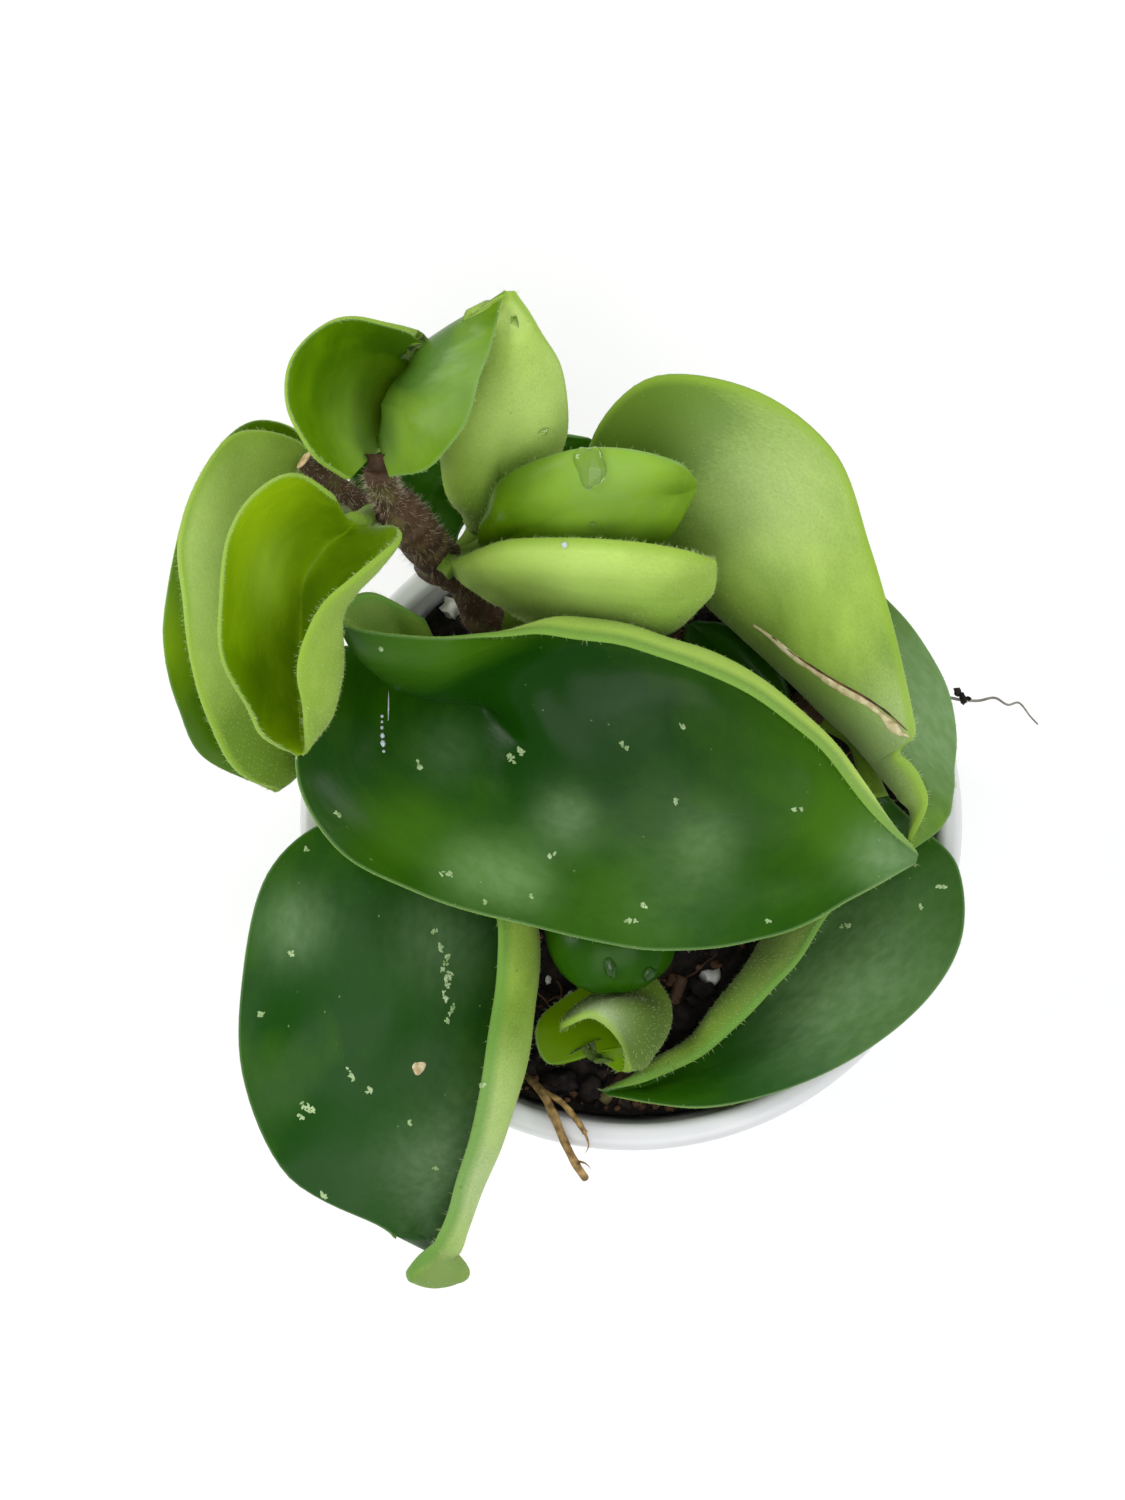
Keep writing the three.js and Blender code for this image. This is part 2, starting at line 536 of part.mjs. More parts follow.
// Closed solid of a blade: glossy face, downy face and a rim, the faces split alike
function makeBlade(leaf) {
  const surface = middleSurface(leaf);
  swell(surface, leaf);
  const normals = surfaceNormals(surface);
  const columns = 2 * leaf.halfColumns + 1;
  const positions = [];
  [1, -1].forEach((side) => surface.forEach((row, i) => row.forEach((point, j) => {
    const thickness = thicknessAt(i / (leaf.rows - 1), Math.abs(j / leaf.halfColumns - 1));
    const glossyShare = leaf.share ?? evenShare;
    const share = side > 0 ? glossyShare : glossyShare - 1;
    positions.push(...point.clone().addScaledVector(normals[i][j], share * thickness).toArray());
  })));
  const upper = (i, j) => i * columns + j;
  const lower = (i, j) => leaf.rows * columns + i * columns + j;
  const index = [];
  for (let i = 0; i < leaf.rows - 1; i += 1) {
    for (let j = 0; j < columns - 1; j += 1) {
      index.push(upper(i, j), upper(i, j + 1), upper(i + 1, j + 1));
      index.push(upper(i, j), upper(i + 1, j + 1), upper(i + 1, j));
      index.push(lower(i, j), lower(i + 1, j + 1), lower(i, j + 1));
      index.push(lower(i, j), lower(i + 1, j), lower(i + 1, j + 1));
    }
  }
  const rim = [];
  for (let j = 0; j < columns - 1; j += 1) {
    rim.push([0, j]);
  }
  for (let i = 0; i < leaf.rows - 1; i += 1) {
    rim.push([i, columns - 1]);
  }
  for (let j = columns - 1; j > 0; j -= 1) {
    rim.push([leaf.rows - 1, j]);
  }
  for (let i = leaf.rows - 1; i > 0; i -= 1) {
    rim.push([i, 0]);
  }
  rim.forEach(([i, j], k) => {
    const [nextI, nextJ] = rim[(k + 1) % rim.length];
    index.push(upper(i, j), lower(i, j), lower(nextI, nextJ));
    index.push(upper(i, j), lower(nextI, nextJ), upper(nextI, nextJ));
  });
  const geometry = new THREE.BufferGeometry();
  geometry.setAttribute('position', new THREE.Float32BufferAttribute(positions, 3));
  geometry.setIndex(index);
  return solidOf(geometry);
}

// A blade with its petiole, cut back to keep its gap to the stem that carries it
function makeLeaf(leaf, widenedStems) {
  const steps = petioleSteps * (leaf.petiole.length - 1);
  const whole = makeBlade(leaf).add(tube(leaf.petiole, petioleDiameter, steps, tubeSides));
  return widenedStems.reduce((rest, stem) => rest.subtract(stem), whole);
}

const plant = new THREE.Group();
const stems = { stem_main: mainStem, stem_front: frontStem, stem_right: rightStem };
const widened = Object.values(stems).map((list) => branches(list, tubeSides, seatGap));
const widenedRoot = branches(frontRoot, rootSides, seatGap);

addPiece(plant, 'pot', makePot(), 'pot');
addPiece(plant, 'soil', makeSoil([...widened, widenedRoot]), 'soil');
Object.entries(stems).forEach(([name, list]) => addPiece(plant, name, branches(list, tubeSides), 'stem'));
Object.entries(leaves).forEach(([name, leaf]) => addPiece(plant, name, makeLeaf(leaf, widened), leaf.look));
addPiece(plant, 'root_front', branches(frontRoot, rootSides), 'root');

export default plant;
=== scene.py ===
from functools import lru_cache

import bpy
import numpy as np
from bpy.props import FloatProperty, FloatVectorProperty, IntProperty, PointerProperty
from mathutils import Matrix, Vector
from mathutils.bvhtree import BVHTree


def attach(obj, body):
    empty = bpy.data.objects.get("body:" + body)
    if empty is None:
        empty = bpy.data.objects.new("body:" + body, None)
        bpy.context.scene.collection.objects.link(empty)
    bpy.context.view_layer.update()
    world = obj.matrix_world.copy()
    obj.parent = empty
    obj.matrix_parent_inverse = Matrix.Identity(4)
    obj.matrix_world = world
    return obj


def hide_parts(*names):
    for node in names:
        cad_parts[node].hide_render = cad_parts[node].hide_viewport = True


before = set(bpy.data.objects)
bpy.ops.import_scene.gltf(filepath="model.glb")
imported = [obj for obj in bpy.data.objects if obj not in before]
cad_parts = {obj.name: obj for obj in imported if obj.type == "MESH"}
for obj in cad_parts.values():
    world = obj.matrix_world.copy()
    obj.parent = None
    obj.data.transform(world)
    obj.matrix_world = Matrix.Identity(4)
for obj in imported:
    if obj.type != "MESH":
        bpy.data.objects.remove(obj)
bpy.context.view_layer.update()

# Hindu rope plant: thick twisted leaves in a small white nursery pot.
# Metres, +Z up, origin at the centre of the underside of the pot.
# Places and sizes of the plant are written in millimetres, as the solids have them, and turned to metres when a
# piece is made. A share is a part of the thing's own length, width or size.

bl_info = {
    "name": "Hindu rope plant",
    "version": (1, 0, 0),
    "blender": (4, 5, 0),
    "location": "3D View > Sidebar > Plant",
    "description": "Builds a small potted hindu rope plant with its stage",
    "category": "Object",
}

MM = 0.001

# Pot
POT_HEIGHT = 50
RIM_DIAMETER = 60
FOOT_DIAMETER = 43
LIP_WIDTH = 2.3
LIP_HEIGHT = 3.2
WALL = 1.2
FLOOR = 1.5
FOOT_RADIUS = 0.6
FLOOR_RADIUS = 0.8
HOLLOW_RADIUS = 0.35
LIP_EDGE_RADIUS = 0.5
LIP_RADIUS = 0.9
# Where the outside of the wall ends: in from its line, and below the lip
WALL_END = (0.05, 0.4)
POT_SIDES = 160

# Soil
SOIL_BELOW_RIM = 4
SEAT_GAP = 0.3
SOIL_RELIEF = 0.45
SOIL_WAVE = {"x": 0.55, "x_shift": 1.1, "y": 0.5, "y_shift": 0.4, "slant": 0.9, "slant_share": 0.6}
# Its finer ripples: height, seed, shortest and longest wave, and number of waves
SOIL_RIPPLES = ((0.35, 3, 1.6, 4, 20), (0.22, 4, 0.7, 1.6, 30))
SOIL_SIDES = 150
SOIL_RINGS = 60
# Loose grains: middle size, spread of its logarithm, least and most
CRUMB_SIZES = (0.3, 0.4, 0.15, 0.9)
CHIP_SIZES = (0.55, 0.35, 0.3, 1.2)
PERLITE_SIZES = (0.6, 0.3, 0.35, 1.1)
# How far they keep from the wall, and how far their centres lie above the soil
CRUMB_SEAT = (0.4, 0.05)
CHIP_SEAT = (1.2, 0.2)
PERLITE_SEAT = (1.2, 0.3)
CHIPS = 90
# Relief of a lump as a share of its size, and its least and most stretch
LUMP_RELIEF = 0.22
LUMP_STRETCH = (0.6, 1.25)
# Large clumps with their sizes, and large grains of perlite with theirs
SOIL_CLUMPS = ((-6.2, -23.6, 46.6, 1.5), (-3.6, -24.5, 46.4, 1.3), (-7.6, -24.2, 46.4, 1.1), (-1.2, -24.6, 46.5, 1.2),
               (1.5, -24, 46.4, 1.0), (4.5, -18, 46.6, 1.5), (6.5, -15.6, 46.5, 1.3), (-9.4, -22.5, 46.4, 1.2),
               (-18.6, 15.7, 46.6, 1.4), (-21, 13, 46.4, 1.2), (-18, 13.5, 46.6, 1.4))
PERLITE_PLACES = ((-16.2, 19.9, 46.8), (-14.6, 21.8, 46.6))
PERLITE_LARGE = (1.3, 0.8)
# Crumbs along the wall in front: number, arc in degrees, distance from the wall, lift and sizes
FRONT_CRUMBS = {"count": 170, "arc": (-112, -45), "inward": (0.5, 2.2), "lift": 0.15, "sizes": (0.2, 0.55)}
# Fibres: number, distance from the wall, points of a route, turn at each in radians, step between them, lift,
# height and pace of the arches, and radius
FIBRES = {"count": 70, "inward": 1, "points": 7, "turn": 0.45, "step": (0.5, 1.0), "lift": (0.05, 0.5),
          "arch": 0.3, "pace": (0.3, 1.0), "radius": (0.05, 0.14)}
# Woody root in the soil: route, diameter and knots
SOIL_ROOT = (((-2.6, -25.5, 46.6), (-0.5, -23.2, 47.4), (1.6, -20.6, 47.6), (3.4, -17.6, 47.5), (4.6, -14.5, 47)),
             1.2, (0.3, 0.7))

# Blades. The solids are 1.5 in the middle and 0.75 at the margin; these finer blades lie within them
BLADE_THICKNESS = 1.3
MARGIN_THICKNESS = 0.42
END_THICKNESS = 0.45
TAPER_LENGTH = 0.12
EVEN_SHARE = 0.5
FOLDED_SHARE = 0.12
BASE_WIDTH = 1.8
TIP_WIDTH = 0.9
BOW_SCALE = 4
ROLL_SCALE = 6.75
MARGIN_POWER = 4
EDGE_RADIUS = 0.3
EDGE_STEPS = 4
# The rounding of a margin takes at most this share of a half blade
MOST_ROUNDING = 0.6
LENGTH_TO_WIDTH = 2.2
KEEL = 0.09
# Living unevenness: height, shortest and longest wave
UNEVENNESS = 0.16
UNEVEN_WAVES = (5, 14)
# Stalks: diameter, flare at both ends as a share, and the tint and distance to a margin that their skin has
PETIOLE_DIAMETER = 1.8
PETIOLE_FLARE = 0.35
PETIOLE_TINT = -0.3
PETIOLE_RIM = 9.0
GLOSSY_LOOKS = {"mature": "waxy_mature", "bright": "waxy_bright", "young": "waxy_young", "downy": "waxy_bright"}

# Hairs on a millimetre of margin
FRINGE_DENSITY = {"mature": 1.5, "bright": 2.0, "young": 5.0, "downy": 6.0}
# How far hairs lean to the tip and back from the margin, how far each strays, and the least and most of its length
DOWN_LEAN = 0.45
FRINGE_LEAN = 0.2
FRINGE_BACK = 0.5
HAIR_STRAY = 0.35
DOWN_LENGTHS = (0.4, 1)
FRINGE_LENGTHS = (0.4, 1.2)
# Hairs of the main stem: number on a branch, length, stray, and place of the root as a share of the radius
STEM_HAIRS = {"count": 700, "length": 0.9, "stray": 0.3, "root": 0.97}
# Step along a stem that gives its direction, as a share of the way
WAY_STEP = 0.01

# Stems: route, diameter and knots as shares of the way
STEMS = {
    "stem_main": (
        (((-10, 17, 40), (-11.5, 17.5, 45), (-13.5, 18.5, 50), (-15, 20.5, 54.5), (-17, 21, 60)), 3.4, (0.5, 0.98)),
        (((-17, 21, 59.5), (-18, 21.5, 64), (-19, 22, 68), (-20.5, 23.2, 71)), 3.8, (0.05, 0.4, 0.75)),
        (((-19.5, 22.5, 69), (-21, 23.7, 72.5), (-21.5, 25, 75.5)), 2.4, (0.3, 0.9)),
        (((-18.8, 22, 67), (-21.5, 23, 68), (-23.5, 24, 67.5)), 2.6, (0.6,)),
        (((-22.5, 23.5, 68), (-25, 25, 69.5), (-28, 27, 71.5)), 1.9, (0.7,)),
    ),
    "stem_front": (
        (((-12, 3.5, 38), (-12, 2.5, 46), (-12, 1.5, 53.5)), 3.2, (0.6, 0.95)),
    ),
    "stem_right": (
        (((17.5, 11.5, 38), (17, 10, 46), (16, 9.5, 51.5)), 3.2, (0.65, 0.95)),
    ),
}
# Bark: unevenness, height and length of a knot as shares, and height of the lengthwise ridges. Waves are the
# shortest, the longest and their number, on a way that counts as a span of so many mm
BARK_RELIEF = 0.05
BARK_SPAN = 12
BARK_WAVES = (0.8, 4, 8)
KNOT_RELIEF = 0.16
KNOT_LENGTH = 0.05
RIDGE_HEIGHT = 0.06
RIDGE_WAVES = (1.2, 5, 16)
# Cut stub: radius as a share of the branch's diameter, height of its dome and turn
CUT_SHARE = 0.46
CUT_HEIGHT = 0.25
CUT_TURN = 0.4

# Roots: route and diameter
FRONT_ROOT = (
    (((-10, -22, 42), (-9.5, -23.2, 46.5), (-8, -25, 50.2), (-7, -27, 51), (-6, -29.4, 51.1),
      (-5, -31.3, 49.6), (-4.2, -32.4, 47.5)), 0.7),
    (((-8.4, -24.6, 49.4), (-6.4, -25.8, 51), (-5, -27.4, 51.4), (-4.2, -28.6, 51.1)), 0.5),
)
ROOT_KNOTS = (0.1, 0.32, 0.5, 0.66, 0.8)
ROOT_HAIRS = (
    ((-5.1, -31, 49.8), (-4.2, -31.2, 50), (-3.6, -31.8, 49.9)),
    ((-4.3, -28.4, 51.2), (-3.9, -29.6, 51), (-4.2, -30.4, 50.7)),
)
ROOT_HAIR_RADIUS = 0.14
ROOT_HAIR_TAPER = 1.05
RIGHT_ROOTLET = ((22.5, 8.6, 46.3), (24.6, 9.3, 48.4), (26.6, 10, 50), (28.6, 10.6, 50.5), (30, 10.4, 50.6),
                 (31.5, 10.3, 50.8), (33, 10.6, 50.6), (34.2, 10, 50.4), (35.3, 10.2, 50.2), (36.3, 9, 50),
                 (37, 8.3, 49.8))
# Radius of the rootlet at its foot, and how much of it is lost on the way
ROOTLET_RADIUS = (0.18, 0.1)
# Crumbs that hang on it, with their sizes
ROOTLET_CRUMBS = ((30.1, 10.5, 50.8, 0.45), (29.6, 11.1, 50.7, 0.35), (30.6, 10.5, 50.7, 0.25))

# Sides and steps of tubes; rings from the top to the rim and sides of domes
TUBES = {"petiole": (14, 30), "fibre": (5, 12), "soil_root": (10, 40), "stem": (20, 60), "root": (12, 90),
         "root_hair": (6, 12), "rootlet": (8, 120)}
DOMES = {"flake": (2, 9), "bark": (6, 18), "water": (8, 28)}
RIBBON_SIDES = 10
# Ways steeper than this take their side from +X, others from +Z
STEEP_TUBE = 0.95
STEEP_HAIR = 0.9
# Seeds of the random numbers and ripples; a row of like things adds its number, or multiplies by it
SEEDS = {"soil": 11, "soil_root": 90, "stem": 40, "ridge": 20, "stem_down": 5, "root": 70, "rootlet": 31, "down": 23,
         "cut": 9, "flake": 20, "corky": 50, "water": 80}

# Marks: leaf, face and rows of a place, length, width and turn in radians
DRIED_DROPS = (
    ("leaf_front", "glossy", (
        (-16.1, -6.8, 61.3, 1.2, 0.6, 1.5), (-10.6, 3.2, 61.3, 1.3, 0.5, 0.5), (-9.8, 3.8, 61.3, 1.0, 0.5, 0.8),
        (-18.7, 2.7, 59.8, 1.2, 0.4, 0.3), (-25.4, -2.0, 62.9, 0.6, 0.4, 1.0), (-12.8, -9.3, 61.7, 0.4, 0.4, 0.0),
        (-0.3, -11.0, 61.4, 1.1, 0.4, 1.5), (0.7, -9.6, 61.2, 0.7, 0.3, 1.1), (-8.8, -8.8, 61.1, 0.5, 0.3, 0.2),
        (-7.1, -5.2, 60.7, 0.6, 0.3, 2.2), (3.5, -0.8, 62.5, 0.5, 0.4, 0.4), (-1.1, 4.1, 63.4, 0.3, 0.3, 0.0),
        (-0.7, 3.7, 63.3, 0.3, 0.3, 0.0), (-21.3, 10.5, 72.6, 0.4, 0.3, 0.0), (4.1, 5.6, 63.6, 0.5, 0.3, 0.5),
        (13.7, -1.6, 62.9, 0.3, 0.2, 0.0), (14.3, -1.6, 62.9, 0.3, 0.2, 0.0), (11.4, -11.1, 62.2, 0.5, 0.3, 0.9),
    )),
    ("leaf_lower_right", "glossy", (
        (27.6, -7.0, 52.7, 1.1, 0.4, 1.3), (18.8, -10.1, 51.7, 1.1, 0.4, 1.6), (25.6, -8.7, 52.8, 0.4, 0.3, 0.4),
    )),
    ("leaf_lower_left", "glossy", (
        (-28.4, -26.5, 54.8, 1.5, 0.6, 0.9), (-29.0, -27.3, 54.7, 0.6, 0.3, 0.9), (-24.7, -23.6, 54.9, 1.5, 0.3, 0.4),
        (-23.1, -25.0, 54.4, 0.6, 0.5, 0.0), (-32.4, -18.6, 56.5, 0.8, 0.5, 0.1), (-29.7, -13.3, 57.5, 0.6, 0.6, 0.0),
        (-28.5, -4.3, 58.3, 0.6, 0.3, 1.0), (-17.4, -11.3, 56.0, 0.5, 0.3, 2.0), (-17.3, -31.6, 52.4, 0.9, 0.2, 1.4),
        (-19.6, -27.8, 53.4, 0.6, 0.2, 0.0), (-27.0, -34.1, 53.5, 0.8, 0.3, 0.6),
    )),
    ("leaf_lower_left", "downy", ((-13.3, -24.7, 57.9, 0.9, 0.4, 1.5),)),
    ("leaf_lower_left", "glossy", (
        (-16.9, -12.7, 55.5, 0.9, 0.3, 0.2), (-16.4, -13.7, 55.1, 1.2, 0.4, -0.3), (-16.7, -14.6, 55.0, 0.7, 0.3, 0.6),
        (-16.2, -15.4, 54.9, 1.6, 0.7, -0.2), (-16.5, -16.9, 54.6, 1.1, 0.4, 0.3), (-15.9, -17.9, 54.4, 1.3, 0.3, -0.4),
        (-16.4, -19.0, 54.2, 0.5, 0.3, 0.0),
    )),
)
# Flakes of a dried drop: least number, and how many more to a square millimetre; half width, half length and height
FLAKE_COUNT = (5, 16)
FLAKE_WIDTH = (0.07, 0.15)
FLAKE_LENGTH = (0.1, 0.26)
FLAKE_HEIGHT = 0.04
FLAKE_TURN = (0, 3)
# Rise of the nearly level direction that a mark is turned to
TURN_RISE = 0.1
CORKY_SPOTS = (
    ("leaf_lower_left", "glossy", ((-18.8, -23.0, 54.1, 1.1, 1.2, 0.3),)),
)
CORKY_HEIGHT = 0.14
# Scars: leaf, face, line, width, height and material
SCARS = (
    ("leaf_upper_right", "downy", ((10.3, 14.7, 62.4), (13.5, 11.9, 63.3), (16.8, 9.1, 64.1), (20, 7, 64.6),
                                   (22.4, 4.9, 63.9), (23.6, 4.4, 63.6)), 0.85, 0.18, "corky_scar"),
    ("leaf_upper_right", "downy", ((12.1, 13.6, 63), (15.5, 10.8, 63.9), (19.2, 8.2, 64.7), (21.6, 6.4, 64.6),
                                   (23.4, 5, 63.9)), 0.2, 0.12, "bark_chip"),
)
SCAR_STEPS = 80
SCAR_RELIEF = 0.3
SCAR_SPAN = 20
SCAR_WAVES = (1, 5)
SCAR_ENDS = (0.02, 0.98)
# Water: leaf, face and rows of a place, length, width, height and turn
WATER_DROPS = (
    ("leaf_inner_back", "glossy", ((-3.9, 24.9, 77.0, 3.6, 2.6, 0.6, 0.3),)),
    ("leaf_front", "glossy", (
        (-21.85, 7.0, 60.8, 0.3, 0.28, 0.2, 0.0), (-21.85, 6.5, 60.8, 0.26, 0.24, 0.2, 0.0),
        (-21.85, 6.0, 60.8, 0.34, 0.3, 0.2, 0.0), (-21.80, 5.3, 60.8, 0.5, 0.4, 0.25, 0.0),
        (-21.75, 4.6, 60.8, 0.6, 0.45, 0.25, 0.0), (-21.70, 3.9, 60.8, 0.3, 0.28, 0.2, 0.0),
        (-21.3, 7.9, 60.6, 2.4, 0.12, 0.1, 0.0),
    )),
    ("leaf_inner_back", "glossy", ((-3.7, 20.9, 73.2, 0.7, 0.7, 0.3, 0.0),)),
    ("leaf_inner_front", "downy", ((-6.0, 18.8, 74.6, 0.6, 0.6, 0.4, 0.0),)),
    ("leaf_top_back", "downy", ((-7.7, 28.6, 74.0, 0.9, 0.9, 0.4, 0.0),)),
    ("leaf_small_dark", "glossy", (
        (-2.1, -14.7, 58.4, 2.2, 1.0, 0.4, 0.2), (1.4, -15.2, 57.4, 1.6, 1.4, 0.4, 0.9),
    )),
)
# A drop that is longer and wider than this is clear; a smaller one is pale, which paints its glint
CLEAR_DROP = (0.65, 0.2)
# Relief of a drop's outline, and how deep it sinks in the leaf, as shares
DROP_RELIEF = 0.12
DROP_SPAN = 3
DROP_WAVES = (2, 6, 8)
DROP_SINK = 0.5

UPPER_LEAVES = ("leaf_upper_right", "leaf_top_back", "leaf_top_heart", "leaf_inner_back", "leaf_inner_front",
                "leaf_left_young", "leaf_left_outer")

# Stage, in metres: camera straight above, tilted a little; lights as place, aim, size, power and tint
CAMERA_TILT = np.radians(10)
CAMERA_DISTANCE = 0.26
CAMERA_AIM = (-0.0062, 0.0059, 0.05)
CAMERA_LENS = 68.83
SENSOR_WIDTH = 36
NEAREST = 0.01
FLOOR_SIZE = 3.0
FLOOR_POINTS = 9
FLOOR_DROP = 0.05 * MM
WORLD_TINT = "#f6f8fa"
WORLD_STRENGTH = 0.64
LIGHTS = {
    "overhead": ((0.02, -0.14, 0.8), (0, 0, 0.05), 0.4, 0.5, "#f4f9ff"),
    "front": ((0.05, -0.5, 0.75), (0, 0, 0.06), 0.6, 3.0, "#ffffff"),
    "left": ((-0.7, 0.15, 0.5), (0, 0, 0.06), 0.32, 3.3, "#fffefa"),
    "right": ((0.65, 0.35, 0.5), (0, 0, 0.06), 0.32, 2.4, "#fffefa"),
}

